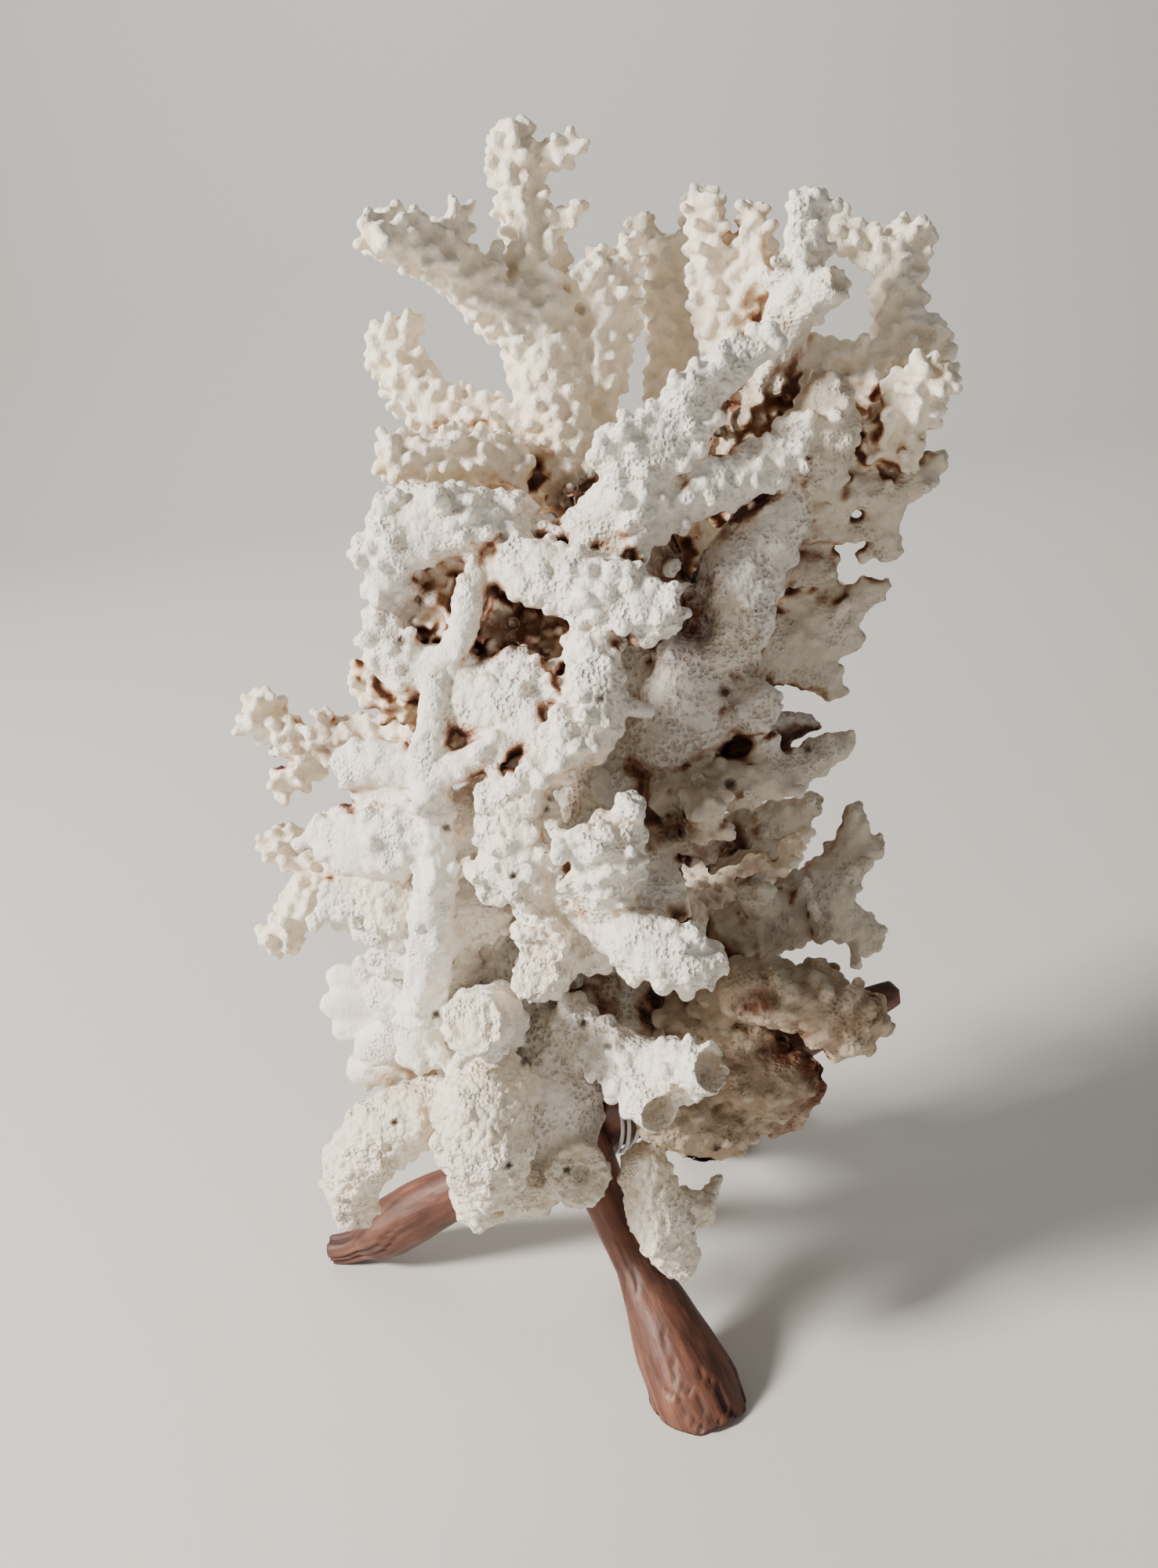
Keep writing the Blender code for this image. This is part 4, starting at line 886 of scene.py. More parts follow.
def cut_face(points, broken, own, grit, centre, way, spread):
    """Cuts the side of a limb nearly flat and gritty round a point."""
    _, along, radial = about(points, centre, way)
    near = own & (radial < spread) & (along > -1.0) & (along < 9)
    rise = np.where(near & (along > 0), along, 0)
    points -= (rise * 0.85)[:, None] * way
    points += (np.where(near, grit * 0.8, 0))[:, None] * way
    np.maximum(broken, np.where(near, np.clip(along + 1.0, 0, 1) * 0.8, 0), out=broken)


def break_ends(colony, points, owner, grit):
    """Cuts the broken ends and faces, and says how broken and how deep in a hollow each point is."""
    points = points.copy()
    broken = np.zeros(len(points))
    hollow = np.zeros(len(points))
    names = [limb[0] for limb in LIMBS]
    for name, number, *shape in BREAKS:
        index = names.index(name)
        cut_end(points, broken, hollow, owner == index, grit, colony.limbs[index][3][number], shape)
    for name, place, (way_x, way_z, way_y), spread in FACETS:
        way = unit(np.array([way_x, way_y, way_z], float))
        cut_face(points, broken, owner == names.index(name), grit, seen(*place), way, spread)
    return points, broken, hollow


def sink_hollows(points, normals):
    """Pushes the surface in at the hollows, and says how deep in one each point is, which colours them with
    staining and painted shade.
    """
    points = points.copy()
    sunk = np.zeros(len(points))
    for x, z, deep, wide, high, depth in HOLLOWS:
        centre = seen(x, z, deep)
        line = unit(centre - EYE)
        right = unit(np.cross(line, [0, 0, 1]))
        offset = points - centre
        share = (offset @ right / wide) ** 2 + (offset @ np.cross(right, line) / high) ** 2
        front = (share < 2.5) & (np.abs(offset @ line) < 14) & (normals @ line < 0)
        inside = np.where(front, np.exp(-share ** 2), 0)
        points += (inside * depth)[:, None] * line
        sunk = np.maximum(sunk, inside)
    return points, sunk


def bore_holes(points, normals):
    """Pushes the surface in at the small holes, and says how deep in a hole each point is."""
    points = points.copy()
    bored = np.zeros(len(points))
    for x, z, deep, radius, depth in HOLES:
        centre = seen(x, z, deep)
        line = unit(centre - EYE)
        _, along, radial = about(points, centre, line)
        front = (radial < radius * 1.6) & (along > -12) & (along < 12) & (normals @ line < 0)
        inside = np.where(front, np.exp(-(radial / radius) ** 6), 0)
        points += (inside * depth)[:, None] * line
        bored = np.maximum(bored, inside)
    return points, bored


def node(tree, kind, **values):
    """A shader node; values that start with in_ go to its inputs, and the others are its settings."""
    made = tree.nodes.new(kind)
    for key, value in values.items():
        if key.startswith("in_"):
            made.inputs[key[3:].replace("_", " ")].default_value = value
        else:
            setattr(made, key, value)
    return made


def mark(tree, name, output="Fac"):
    """A value that the mesh carries at each point."""
    return node(tree, "ShaderNodeAttribute", attribute_name=name).outputs[output]


def new_material(name):
    material = bpy.data.materials.new(name)
    material.use_nodes = True
    tree = material.node_tree
    tree.nodes.clear()
    output = tree.nodes.new("ShaderNodeOutputMaterial")
    shader = tree.nodes.new("ShaderNodeBsdfPrincipled")
    tree.links.new(shader.outputs[0], output.inputs[0])
    return material, tree, shader


def ramp(tree, source, stops):
    """Colours along a value; a stop may be a single number for a grey."""
    made = tree.nodes.new("ShaderNodeValToRGB")
    elements = made.color_ramp.elements
    while len(elements) > 1:
        elements.remove(elements[-1])
    for i, (position, colour) in enumerate(stops):
        if isinstance(colour, (int, float)):
            colour = (colour, colour, colour)
        element = elements.new(position) if i else elements[0]
        element.position = position
        element.color = (*colour, 1)
    tree.links.new(source, made.inputs[0])
    return made.outputs[0]


def maths(tree, operation, first, second, clamp=False):
    made = tree.nodes.new("ShaderNodeMath")
    made.operation = operation
    made.use_clamp = clamp
    for slot, value in enumerate((first, second)):
        if isinstance(value, (int, float)):
            made.inputs[slot].default_value = value
        else:
            tree.links.new(value, made.inputs[slot])
    return made.outputs[0]


def blend_colours(tree, share, first, second, kind="MIX"):
    made = tree.nodes.new("ShaderNodeMix")
    made.data_type = "RGBA"
    made.blend_type = kind
    for slot, value in ((0, share), (6, first), (7, second)):
        if isinstance(value, (int, float)):
            made.inputs[slot].default_value = value
        elif isinstance(value, tuple):
            made.inputs[slot].default_value = (*value, 1)
        else:
            tree.links.new(value, made.inputs[slot])
    return made.outputs[2]


def relief(tree, shader, height, strength, distance):
    """Raises a surface by a height, as a bump in its shading."""
    bump = node(tree, "ShaderNodeBump", in_Strength=strength, in_Distance=distance)
    tree.links.new(height, bump.inputs["Height"])
    tree.links.new(bump.outputs[0], shader.inputs["Normal"])


# What the colour is multiplied by, from open surface to the bottom of a crevice: painted shade, partly
# reddish brown stain deep in
RECESS_PAINTED_SHADE_AND_STAIN = [
    (0.0, (1, 1, 1)), (0.36, (0.97, 0.95, 0.92)), (0.54, (0.80, 0.69, 0.59)), (0.72, (0.50, 0.32, 0.23)),
    (0.86, (0.24, 0.115, 0.078)), (1.0, (0.09, 0.038, 0.026)),
]
CLOUD_TINTS = [(0.3, (0.93, 0.90, 0.85)), (0.68, (1, 1, 1))]
# Painted shade in the creases between the granules
DIMPLE_PAINTED_SHADE = [(0.45, (1, 1, 1)), (0.85, (0.86, 0.81, 0.75))]
PORE_EDGE = [(0.24, 0), (0.56, 1)]
# Painted shade inside the round pores
PORE_PAINTED_SHADE = (0.64, 0.57, 0.50)
BROKEN_COLOURS = [(0.35, (0.87, 0.73, 0.55)), (0.55, (0.95, 0.865, 0.73))]
SPECKLE = [(0.36, 0), (0.60, 1)]
# Dark reddish brown for stain, and for the painted shade that the same mark carries
STAIN_AND_SHADE_COLOURS = [(0.35, (0.075, 0.026, 0.016)), (0.65, (0.24, 0.090, 0.052))]
# Painted shade in the bored holes and in the hollows of broken ends
BORED_PAINTED_SHADE = (0.12, 0.08, 0.05)
WHITE = (1.0, 1.0, 1.0)


def coral_textures(tree, grain, pore_size):
    """The textures of a coral material by name, in the object's own coordinates."""
    place = tree.nodes.new("ShaderNodeTexCoord").outputs["Object"]
    noises = (("cloud", 55.0, 4.0), ("grit", 1100.0, 3.0), ("patch", 110.0, 3.0), ("blotch", 330.0, 3.0))
    cells = (("granules", grain, 0.9), ("pores", pore_size, 0.75))
    made = {}
    for name, scale, detail in noises:
        made[name] = node(tree, "ShaderNodeTexNoise", in_Scale=scale, in_Detail=detail)
    for name, size, disorder in cells:
        made[name] = node(tree, "ShaderNodeTexVoronoi", in_Scale=1 / (size * MM), in_Randomness=disorder)
    for texture in made.values():
        tree.links.new(place, texture.inputs["Vector"])
    return {
        name: texture.outputs["Distance" if name in ("granules", "pores") else "Fac"]
        for name, texture in made.items()
    }


def pore_mask(tree, textures, pore_share):
    """Black in round pores, which stand in patches, and white between them."""
    hole = ramp(tree, textures["pores"], PORE_EDGE)
    least = 0.52 - pore_share * 0.22
    where = ramp(tree, textures["patch"], [(least, 0), (least + 0.14, 1)])
    return blend_colours(tree, where, WHITE, hole)


def stained(tree, textures, colour):
    """The colour with speckled rust-brown staining, partly painted shade, where the mesh carries that mark,
    and painted shade in the bored holes.
    """
    speckle = ramp(tree, textures["blotch"], SPECKLE)
    amount = maths(tree, "ADD", maths(tree, "MULTIPLY", speckle, 0.7), 0.45)
    spread = maths(tree, "MULTIPLY", mark(tree, "stain"), amount, True)
    colour = blend_colours(tree, spread, colour, ramp(tree, textures["patch"], STAIN_AND_SHADE_COLOURS))
    # Painted shade in the bored holes
    bored = maths(tree, "MULTIPLY", mark(tree, "bored"), 0.9)
    return blend_colours(tree, bored, colour, BORED_PAINTED_SHADE)


def coral_colour(tree, textures, holes, tip, body, crevice, grain_height, pore_share):
    """Lighter on what stands out and darker between knobs and in crevices, as painted light and shade,
    reddish brown deep in crevices, cream where it is broken, with pores and stains.
    """
    # Painted light on what stands out and painted shade in the crevices between the knobs
    colour = ramp(tree, mark(tree, "height"), [(0.0, crevice), (0.34, body), (1.0, tip)])
    tint = ramp(tree, textures["cloud"], CLOUD_TINTS)
    colour = blend_colours(tree, 0.8, colour, tint, "MULTIPLY")
    # Painted shade between the granules
    dimple = ramp(tree, textures["granules"], DIMPLE_PAINTED_SHADE)
    colour = blend_colours(tree, min(1.0, grain_height), colour, dimple, "MULTIPLY")
    # Painted shade in the pores
    dark = blend_colours(tree, holes, PORE_PAINTED_SHADE, WHITE)
    colour = blend_colours(tree, pore_share, colour, dark, "MULTIPLY")
    # Painted shade in the crevices, turning reddish brown with stain deep in them
    shade = ramp(tree, mark(tree, "recess"), RECESS_PAINTED_SHADE_AND_STAIN)
    colour = blend_colours(tree, 1.0, colour, shade, "MULTIPLY")
    chalk = ramp(tree, textures["blotch"], BROKEN_COLOURS)
    colour = blend_colours(tree, maths(tree, "MULTIPLY", mark(tree, "broken"), 0.88), colour, chalk)
    return stained(tree, textures, colour)


def coral_material(name, tip, body, crevice, grain, grain_height, pore_size, pore_height, pore_share):
    """Chalky limestone with granules and round pores."""
    material, tree, shader = new_material(name)
    textures = coral_textures(tree, grain, pore_size)
    holes = pore_mask(tree, textures, pore_share)
    colour = coral_colour(tree, textures, holes, tip, body, crevice, grain_height, pore_share)
    tree.links.new(colour, shader.inputs["Base Color"])
    shader.inputs["Roughness"].default_value = 0.72
    shader.inputs["Specular IOR Level"].default_value = 0.35
    rounded = maths(tree, "SUBTRACT", 1.0, maths(tree, "POWER", textures["granules"], 2.0))
    height = maths(tree, "MULTIPLY", rounded, grain_height)
    height = maths(tree, "ADD", height, maths(tree, "MULTIPLY", holes, pore_height))
    height = maths(tree, "ADD", height, maths(tree, "MULTIPLY", textures["grit"], 0.30))
    relief(tree, shader, height, 1.0, 0.0010)
    return material


# Per look: the material's name, its tip, body and crevice colours (the tip lighter as painted light, the
# crevice darker as painted shade), then granule size and height, and pore size, height and share
CORAL_MATERIALS = {
    "cream": (
        "coral_ivory", (0.96, 0.90, 0.79), (0.93, 0.835, 0.68), (0.80, 0.65, 0.46),
        1.9, 0.30, 1.2, 0.10, 0.10,
    ),
    "white": (
        "coral_chalk", (0.95, 0.92, 0.865), (0.91, 0.87, 0.80), (0.76, 0.675, 0.57),
        2.0, 0.55, 1.40, 0.50, 0.34,
    ),
    "chalk": (
        "coral_satin", (0.95, 0.925, 0.88), (0.92, 0.885, 0.83), (0.79, 0.71, 0.61),
        2.4, 0.40, 1.1, 0.35, 0.25,
    ),
    "porous": (
        "coral_porous", (0.88, 0.85, 0.805), (0.82, 0.78, 0.725), (0.70, 0.64, 0.57),
        2.2, 0.45, 1.40, 0.55, 0.62,
    ),
    # The limbs on the right: the coral's colours darkened with painted shade
    "grey": (
        "coral_grey_painted_shade", (0.79, 0.735, 0.64), (0.70, 0.64, 0.54), (0.50, 0.42, 0.33),
        2.6, 0.45, 1.2, 0.40, 0.30,
    ),
    "rough": (
        "coral_rubble", (0.93, 0.88, 0.775), (0.88, 0.81, 0.69), (0.68, 0.58, 0.45),
        1.9, 0.75, 1.2, 0.50, 0.25,
    ),
    # The lower right limbs: brown stain, darkened further with painted shade
    "stained": (
        "coral_stained", (0.62, 0.53, 0.415), (0.42, 0.32, 0.23), (0.18, 0.09, 0.06),
        2.2, 0.65, 1.3, 0.40, 0.30,
    ),
    "petal": (
        "coral_pearly", (0.95, 0.915, 0.86), (0.92, 0.86, 0.785), (0.80, 0.64, 0.53),
        3.2, 0.20, 1.8, 0.05, 0.05,
    ),
}
CORAL_SLOTS = {"cream": "coral_cream", "grey": "coral_grey"}

FIBRE_COLOURS = [(0.28, (0.056, 0.020, 0.012)), (0.48, (0.118, 0.044, 0.027)), (0.72, (0.190, 0.082, 0.053))]
WOOD_TONES = [(0.34, (0.42, 0.38, 0.36)), (0.5, (0.9, 0.87, 0.85)), (0.66, (1.4, 1.32, 1.25))]
# Painted shade in the cracks, darker where they are deeper
GROOVE_PAINTED_SHADE = (0.028, 0.012, 0.009)


def grain_noise(tree, scale, **values):
    """Noise in the leg's own coordinates, with a scale for each of its directions."""
    stretch = node(tree, "ShaderNodeMapping", in_Scale=scale)
    tree.links.new(mark(tree, "grain", "Vector"), stretch.inputs["Vector"])
    texture = node(tree, "ShaderNodeTexNoise", in_Scale=1.0, **values)
    tree.links.new(stretch.outputs[0], texture.inputs["Vector"])
    return texture.outputs["Fac"]


def wood_material():
    """Reddish brown wood with long grain, painted shade in its cracks, and a satin polish."""
    material, tree, shader = new_material("carved_wood")
    fibre = grain_noise(tree, (480.0, 480.0, 34.0), in_Detail=5.0, in_Roughness=0.6)
    patch = grain_noise(tree, (120.0, 120.0, 62.0), in_Detail=3.0)
    colour = ramp(tree, fibre, FIBRE_COLOURS)
    colour = blend_colours(tree, 0.85, colour, ramp(tree, patch, WOOD_TONES), "MULTIPLY")
    # Painted shade in the cracks
    colour = blend_colours(tree, mark(tree, "groove"), colour, GROOVE_PAINTED_SHADE)
    tree.links.new(colour, shader.inputs["Base Color"])
    tree.links.new(ramp(tree, patch, [(0.3, 0.62), (0.7, 0.46)]), shader.inputs["Roughness"])
    relief(tree, shader, fibre, 0.5, 0.0004)
    return material


def line_material():
    """Clear nylon line with a faint haze along it."""
    material, tree, shader = new_material("clear_line")
    place = tree.nodes.new("ShaderNodeTexCoord").outputs["Object"]
    haze = node(tree, "ShaderNodeTexNoise", in_Scale=160.0, in_Detail=2.0)
    tree.links.new(place, haze.inputs["Vector"])
    colour = ramp(tree, haze.outputs["Fac"], [(0.35, (0.80, 0.80, 0.78)), (0.65, (0.96, 0.96, 0.95))])
    tree.links.new(colour, shader.inputs["Base Color"])
    rough = ramp(tree, haze.outputs["Fac"], [(0.3, 0.14), (0.7, 0.28)])
    tree.links.new(rough, shader.inputs["Roughness"])
    shader.inputs["Transmission Weight"].default_value = 0.35
    shader.inputs["IOR"].default_value = 1.53
    return material


def finish_piece(name, points, faces, material, slot, *nodes):
    """Makes a smooth-shaded piece that rides on the one body and stands for its CAD nodes."""
    mesh = make_mesh(name, (points + HOME) * MM, faces)
    mesh.polygons.foreach_set("use_smooth", np.ones(len(faces), bool))
    mesh.materials.append(material)
    piece = bpy.data.objects.new(name, mesh)
    bpy.context.scene.collection.objects.link(piece)
    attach(piece, "root")
    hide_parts(*nodes)
    return piece


def add_attribute(mesh, name, values, kind="FLOAT"):
    attribute = mesh.attributes.new(name, kind, "POINT")
    field = "value" if kind == "FLOAT" else "vector"
    attribute.data.foreach_set(field, np.ascontiguousarray(values, np.float32).ravel())


def neighbours(quads):
    """Each pair of faces that share an edge, as two lists of faces."""
    ends = np.sort(np.stack([quads, np.roll(quads, -1, axis=1)], axis=2).reshape(-1, 2), axis=1)
    keys = ends[:, 0].astype(np.int64) * (int(quads.max()) + 1) + ends[:, 1]
    order = np.argsort(keys, kind="stable")
    shared = keys[order[1:]] == keys[order[:-1]]
    return order[:-1][shared] // 4, order[1:][shared] // 4


def joined_patches(count, first, second):
    """For each of the faces, the lowest number in its patch, where the two lists say what is joined."""
    patch = np.arange(count)
    while True:
        low = np.minimum(patch[first], patch[second])
        merged = patch.copy()
        np.minimum.at(merged, first, low)
        np.minimum.at(merged, second, low)
        merged = merged[merged]
        if (merged == patch).all():
            return patch
        patch = merged


def settle_islands(quads, face_owner):
    """Gives each tiny patch of one limb inside another to the limb round it, and drops closed bubbles."""
    one, other = neighbours(quads)
    joined = face_owner[one] == face_owner[other]
    patch = joined_patches(len(quads), one[joined], other[joined])
    small = np.bincount(patch, minlength=len(quads))[patch] < ISLAND
    inside = np.concatenate([one[~joined], other[~joined]])
    beyond = np.concatenate([other[~joined], one[~joined]])
    touching = np.zeros(len(quads), bool)
    touching[patch[inside]] = True
    votes = small[inside] & ~small[beyond]
    ballots = np.stack([patch[inside[votes]], face_owner[beyond[votes]]], axis=1)
    rows, counts = np.unique(ballots, axis=0, return_counts=True)
    winner = np.full(len(quads), -1)
    for place, limb in rows[np.argsort(counts, kind="stable")]:
        winner[place] = limb
    settled = np.where(small & (winner[patch] >= 0), winner[patch], face_owner)
    kept = ~small | touching[patch]
    return quads[kept], settled[kept]


def stains_at(points):
    """How much staining and painted shade each point gets."""
    stain = np.zeros(len(points))
    for x, z, depth, radius, strength in STAINS_AND_PAINTED_SHADE:
        centre = seen(x, z, depth)
        offset = points - centre
        square = (offset ** 2).sum(1)
        if radius <= SMALL_STAIN:
            square -= (1 - SMALL_STAIN_DEPTH ** -2) * (offset @ unit(centre - EYE)) ** 2
        stain = np.maximum(stain, strength * np.exp(-square / radius ** 2))
    return stain


def paled(points, shut):
    """How shut in each point is, less in the places where the crevices are pale."""
    for x, z, depth, radius, strength in PALE:
        away = np.linalg.norm(points - seen(x, z, depth), axis=1)
        shut = shut * (1 - strength * np.exp(-(away / radius) ** 4))
    return shut


def coral_skin():
    """The fused colony with its relief: points, quads, the limb of each point, and marks for the colours."""
    colony = Colony()
    points, quads, normals = fused_coral(colony, random.Random(SEED))
    owner, height = distances(colony, points)
    shut = recesses(colony, points, normals)
    broad, middle, fine = (wander(points, size, offset) for size, offset in CRUST_LUMPS)
    crust = broad * 0.45 + (0.3 - np.abs(middle)) * 0.75 + fine * 0.3
    points, broken, hollow = break_ends(colony, points, owner, middle + fine)
    points += normals * (crust * per_limb("rough")[owner] * (1 - BROKEN_SMOOTH * broken))[:, None]
    points, sunk = sink_hollows(points, normals)
    points, bored = bore_holes(points, normals)
    high = np.clip((height + 2.0) / 5.0, 0, 1)
    shut = paled(points, shut) * (1 + 0.25 * broad + 0.15 * fine) - 0.10 * high
    # Stain and painted shade, less on what stands out
    stain = np.clip(stains_at(points) * np.clip(1.35 - high, 0, 1), 0, 1)
    # The recess and bored marks paint shade into crevices and holes; the stain mark carries stain and painted
    # shade
    marks = {
        "height": high,
        "recess": np.clip(shut, 0, 1),
        "stain": np.maximum(stain, sunk * np.clip(1.3 - 0.6 * high, 0, 1)),
        "broken": np.clip(broken, 0, 1),
        "bored": np.clip(np.maximum(bored, hollow), 0, 1),
    }
    return points, quads, owner, marks


def coral():
    """Cuts the fused colony into one piece for each limb; a limb with no face of its own is in the first."""
    points, quads, owner, marks = coral_skin()
    materials = {look: coral_material(*values) for look, values in CORAL_MATERIALS.items()}
    quads, face_owner = settle_islands(quads, owner[quads[:, 0]])
    used = set(int(i) for i in np.unique(face_owner))
    hidden = [LIMBS[i][0] for i in range(len(LIMBS)) if i not in used]
    for i in sorted(used):
        name, look = LIMBS[i][:2]
        faces = quads[face_owner == i]
        kept, own_faces = np.unique(faces, return_inverse=True)
        nodes = [name] + (hidden if i == min(used) else [])
        slot = CORAL_SLOTS.get(look, "coral_white")
        own_faces = own_faces.reshape(faces.shape)
        piece = finish_piece(name + "_coral", points[kept], own_faces, materials[look], slot, *nodes)
        for key, values in marks.items():
            add_attribute(piece.data, key, values[kept])


# The radius along a leg, as (share of its length, radius, how far it sags there)
TURNED = (
    (0.0, 12.2), (0.1, 12.9), (0.22, 11.4), (0.34, 8.6), (0.45, 6.2), (0.6, 6.6), (0.8, 7.6), (0.95, 7.8),
    (1.0, 6.5),
)
STICK = (
    (0.0, 4.7, 1.6), (0.03, 5.1, 3.2), (0.06, 5.5, 3.8), (0.09, 8.4, 3.2), (0.12, 9.6, 2.4), (0.17, 9.6, 1.6),
    (0.23, 8.8, 0.8), (0.31, 7.4), (0.48, 8.2), (0.64, 8.4), (0.85, 7.0), (0.94, 5.2), (1.0, 3.4),
)
# The legs, as in the solids: where the line down the leg meets the floor, its top, the share of that line at
# which the leg starts, and its profile
LEGS = {
    "leg_front": ((13.6, -31.0, 0.0), (-17.5, 24.5, 74.0), -0.08, TURNED),
    "leg_left": ((-106.2, 55.7, 0.0), (78.5, -6.0, 106.0), 0.05, STICK),
    "leg_back": ((35.0, 104.0, 0.0), (-1.5, 25.0, 68.0), -0.08, TURNED),
}
LEG_RING = 1.1          # distance between the rings of a leg
LEG_SIDES = 64
FOOT_CRACK_PLACES = 9   # equal parts of the foot's round, each with at most one crack
SIDE_CRACKS = 8
DEEPEST_CRACK = 0.28    # beside the leg's radius there
# A crack: where it is round the leg, the share of the leg at which it starts, its length as such a share,
# its half width and its depth
TOE_SPLIT = (0.0, -0.05, 0.11, 0.55, 1.6)


def leg_cracks(name, rng):
    """Cracks that run up from the foot, and fine ones along the leg; the stick's toe is split."""
    stick = name == "leg_left"
    cracks = [TOE_SPLIT] if stick else []
    for i in range(3 if stick else FOOT_CRACK_PLACES):
        angle = FULL_TURN * (i + rng.uniform(0.1, 0.9)) / FOOT_CRACK_PLACES
        length, width, depth = rng.uniform(0.16, 0.36), rng.uniform(0.35, 0.7), rng.uniform(1.0, 2.6)
        cracks.append((angle, -0.05, length, width, depth))
    for _ in range(SIDE_CRACKS):
        angle, first = rng.uniform(0, FULL_TURN), rng.uniform(0.1, 0.75)
        length, width, depth = rng.uniform(0.1, 0.35), rng.uniform(0.25, 0.4), rng.uniform(0.25, 0.6)
        cracks.append((angle, first, length, width, depth))
    return cracks


def carved_radius(radius, angle, share, cracks):
    """The radius at one point of a leg with its swells and cracks, and how deep in a crack it is."""
    swell = noise.noise(Vector((math.cos(angle) * 0.8, math.sin(angle) * 0.8, share * 7)))
    ripple = noise.noise(Vector((math.cos(angle) * 3, math.sin(angle) * 3, share * 12 + 9)))
    carved = radius + (swell * 0.8 + ripple * 0.22) * min(1.0, radius / 8)
    groove = 0.0
    for at, first, length, width, depth in cracks:
        inside = (share - first) / length
        if not 0 < inside < 1:
            continue
        drift = at + 0.25 * math.sin(share * 14 + at) + 0.06 * math.sin(share * 60 + at)
        apart = (angle - drift + math.pi) % FULL_TURN - math.pi
        cut = math.exp(-(apart * radius / width) ** 2) * (1 - inside) ** 0.4
        carved -= min(depth, radius * DEEPEST_CRACK) * cut
        groove = max(groove, cut * min(1.0, depth / 1.5))
    return carved, groove


def leg_piece(name, wood, rng):
    """A carved leg, cut off level at the floor."""
    foot, top, first_share, profile = LEGS[name]
    foot, top = np.array(foot), np.array(top)
    start = foot + (top - foot) * first_share
    whole = top - start
    total = np.linalg.norm(whole)
    path = [np.append(start + whole * share - (0, 0, sum(sag)), radius) for share, radius, *sag in profile]
    rows = smooth_path(path, LEG_RING)
    cracks = leg_cracks(name, rng)
    points, grain, grooves = [], [], []
    for row, (ahead, side, across) in zip(rows, frames_along(rows)):
        share = float((row[:3] - start) @ whole) / total ** 2
        for angle in np.arange(LEG_SIDES) * FULL_TURN / LEG_SIDES:
            radius, groove = carved_radius(row[3], angle, share, cracks)
            out = side * math.cos(angle) + across * math.sin(angle)
            points.append(row[:3] + out * radius)
            grain.append(np.array([math.cos(angle) * row[3], math.sin(angle) * row[3], share * total]) * MM)
            grooves.append(groove)
    points = np.array(points + [rows[0, :3], rows[-1, :3] + unit(whole) * rows[-1, 3] * 0.5])
    grain += [(0, 0, 0), (0, 0, total * MM)]
    grooves += [0.0, 0.0]
    below = points[:, 2] < 0
    points[below] -= unit(whole) * (points[below, 2] / unit(whole)[2])[:, None]
    faces = tube_faces(len(rows), LEG_SIDES)
    piece = finish_piece(name + "_wood", points, faces, wood, "wood", name)
    add_attribute(piece.data, "grain", grain, "FLOAT_VECTOR")
    add_attribute(piece.data, "groove", grooves)


# Each lashing: the two legs that it goes round, and their radius where they cross
LASHINGS = {
    "lashing_front": ("leg_front", "leg_left", 7.8, 8.7),
    "lashing_back": ("leg_back", "leg_left", 7.8, 8.7),
}
LINE_RADIUS = 0.6
LINE_TURNS = 4
LINE_STEPS = 48         # corners in a turn
LINE_PITCH = 2.1
LINE_CLEARANCE = 0.4


def crossing(name):
    """For the two legs of a lashing: the nearest point of each to the other, its direction and radius."""
    one, other, radius, other_radius = LASHINGS[name]
    foot, top = (np.array(p) for p in LEGS[one][:2])
    other_foot, other_top = (np.array(p) for p in LEGS[other][:2])
    first, second = unit(top - foot), unit(other_top - other_foot)
    apart = other_foot - foot
    slant = first @ second
    along_first = (apart @ first - apart @ second * slant) / (1 - slant * slant)
    near = foot + first * along_first
    other_near = other_foot + second * (along_first * slant - apart @ second)
    return (near, first, radius), (other_near, second, other_radius)


def support(leg, aim, axis, shift, middle):
    """How far a leg reaches in one direction, in the slice across the axis at a shift from the middle."""
    place, direction, size = leg
    lean = direction @ axis
    centre = place + direction * ((shift - (place - middle)) @ axis / lean) - middle
    stretch = unit(direction - axis * lean)
    return centre @ aim + size * math.hypot(aim @ stretch / lean, aim @ np.cross(axis, stretch))


def lashing_piece(name, material):
    """Line wound slantwise round two crossing legs, drawn tight over both."""
    legs = crossing(name)
    (near, first, _), (other_near, second, _) = legs
    axis = unit(first - second)
    across = unit(np.cross(first, second))
    along = np.cross(axis, across)
    middle = (near + other_near) / 2
    rows = []
    for i in range(LINE_TURNS * LINE_STEPS + 1):
        sway = 0.5 * math.sin(i * 0.21) + 0.3 * math.sin(i * 0.083 + 1)
        shift = axis * (LINE_PITCH * (i / LINE_STEPS - LINE_TURNS / 2) + sway)
        angle = FULL_TURN * i / LINE_STEPS
        reaches = []
        for degrees in range(-80, 81, 5):
            turn = angle + math.radians(degrees)
            aim = across * math.cos(turn) + along * math.sin(turn)
            widest = max(support(leg, aim, axis, shift, middle) for leg in legs)
            reaches.append((widest + LINE_RADIUS + LINE_CLEARANCE) / math.cos(math.radians(degrees)))
        aim = across * math.cos(angle) + along * math.sin(angle)
        rows.append(np.append(middle + shift + aim * min(reaches), LINE_RADIUS))
    points, faces = tube_mesh(np.array(rows), 1.0, THIN_TUBE_SIDES)
    finish_piece(name + "_line", points, faces, material, "line", name)


FLOOR_COLOUR = (0.66, 0.645, 0.615, 1)
WORLD_COLOUR = (0.90, 0.87, 0.83, 1)
WORLD_STRENGTH = 0.20
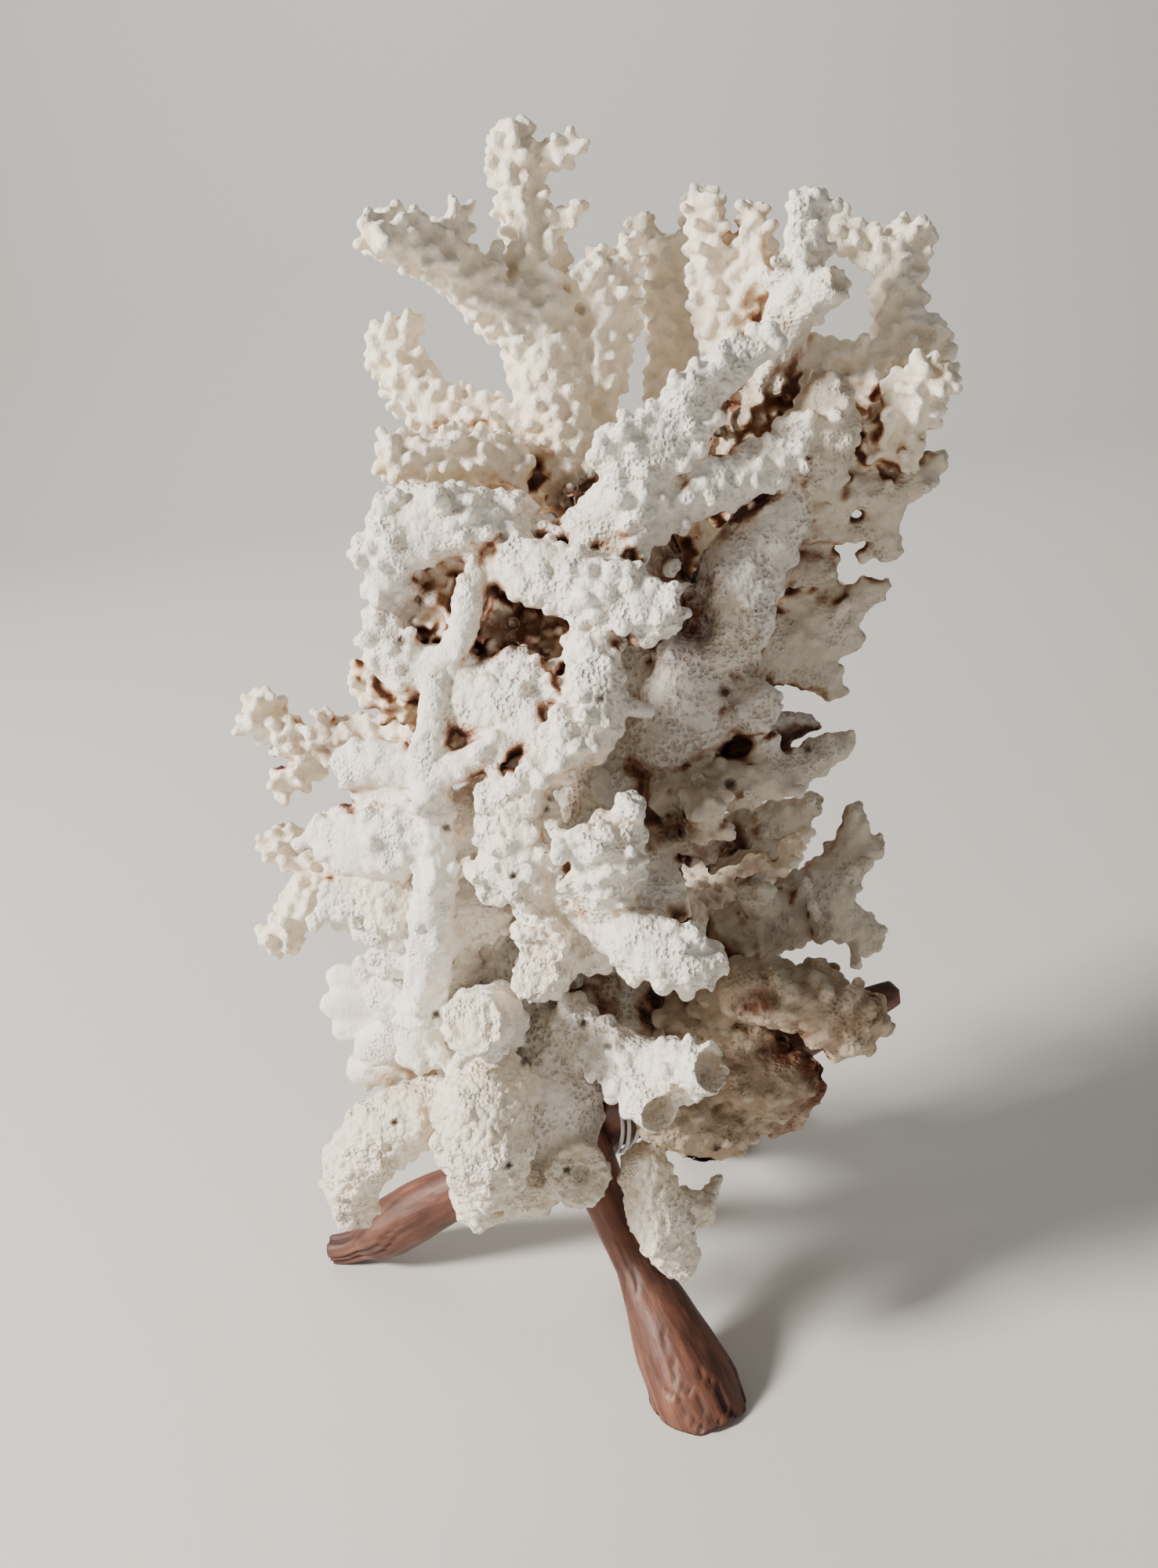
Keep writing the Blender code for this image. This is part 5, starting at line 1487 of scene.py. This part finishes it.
# Each light: its name, place, size, power, colour and what it is aimed at
LIGHTS = (
    ("key", (-1.40, -0.55, 1.05), 0.40, 76.0, (1.0, 0.945, 0.875), (0, 0, 0.17)),
    ("fill", (1.1, -1.3, 0.8), 1.4, 2.0, (0.93, 0.96, 1.0), (0, 0, 0.17)),
    ("rim", (-0.4, 1.2, 1.3), 0.8, 6.0, (1.0, 0.98, 0.95), (0, 0, 0.17)),
    ("wall", (0.0, 0.9, 1.8), 1.2, 22.0, (1.0, 0.99, 0.97), (0, 2.4, 1.2)),
)


def pale_floor():
    """A pale floor that curves up into a wall behind."""
    wide, back, bend, height = 5.0, 1.5, 0.9, 4.0
    turns = [math.radians(degrees) for degrees in range(0, 91, 6)]
    curve = [(back + bend * math.sin(turn), bend - bend * math.cos(turn)) for turn in turns]
    profile = [(-4.0, 0.0)] + curve + [(back + bend, height)]
    corners = [(x, y, z) for y, z in profile for x in (-wide, wide)]
    sheets = [(2 * i, 2 * i + 1, 2 * i + 3, 2 * i + 2) for i in range(len(profile) - 1)]
    mesh = bpy.data.meshes.new("floor")
    mesh.from_pydata(corners, [], sheets)
    mesh.polygons.foreach_set("use_smooth", np.ones(len(sheets), bool))
    floor = bpy.data.objects.new("floor", mesh)
    bpy.context.scene.collection.objects.link(floor)
    material, _, shader = new_material("pale_floor")
    shader.inputs["Base Color"].default_value = FLOOR_COLOUR
    shader.inputs["Roughness"].default_value = 0.9
    mesh.materials.append(material)


def studio_light():
    """A soft light from the upper left, weak ones at the right and behind, and one for the wall."""
    world = bpy.data.worlds.new("studio")
    world.use_nodes = True
    world.node_tree.nodes["Background"].inputs[0].default_value = WORLD_COLOUR
    world.node_tree.nodes["Background"].inputs[1].default_value = WORLD_STRENGTH
    bpy.context.scene.world = world
    for name, place, size, power, colour, target in LIGHTS:
        light = bpy.data.lights.new(name, "AREA")
        light.size = size
        light.energy = power
        light.color = colour
        lamp = bpy.data.objects.new(name, light)
        lamp.location = place
        lamp.rotation_euler = (Vector(target) - Vector(place)).to_track_quat("-Z", "Y").to_euler()
        bpy.context.scene.collection.objects.link(lamp)


def camera():
    """The photograph's viewpoint: looking down 19.5 degrees, with the picture turned 6.5 degrees."""
    pitch, roll = math.radians(19.5), math.radians(6.5)
    forward = np.array([0, math.cos(pitch), -math.sin(pitch)])
    level, rise = np.array([1.0, 0, 0]), np.array([0, math.sin(pitch), math.cos(pitch)])
    right = math.cos(roll) * level - math.sin(roll) * rise
    up = math.sin(roll) * level + math.cos(roll) * rise
    matrix = Matrix.Identity(4)
    for k in range(3):
        matrix[k][0], matrix[k][1], matrix[k][2] = right[k], up[k], -forward[k]
        matrix[k][3] = (EYE[k] + HOME[k]) * MM
    data = bpy.data.cameras.new("camera")
    data.sensor_width = 36
    data.lens = 36
    data.clip_start = 0.01
    eye = bpy.data.objects.new("camera", data)
    bpy.context.scene.collection.objects.link(eye)
    eye.matrix_world = matrix
    bpy.context.scene.camera = eye


def legs():
    wood = wood_material()
    rng = random.Random(SEED + 1)
    for name in LEGS:
        leg_piece(name, wood, rng)


def lashings():
    line = line_material()
    for name in LASHINGS:
        lashing_piece(name, line)


camera()
pale_floor()
studio_light()
coral()
legs()
lashings()
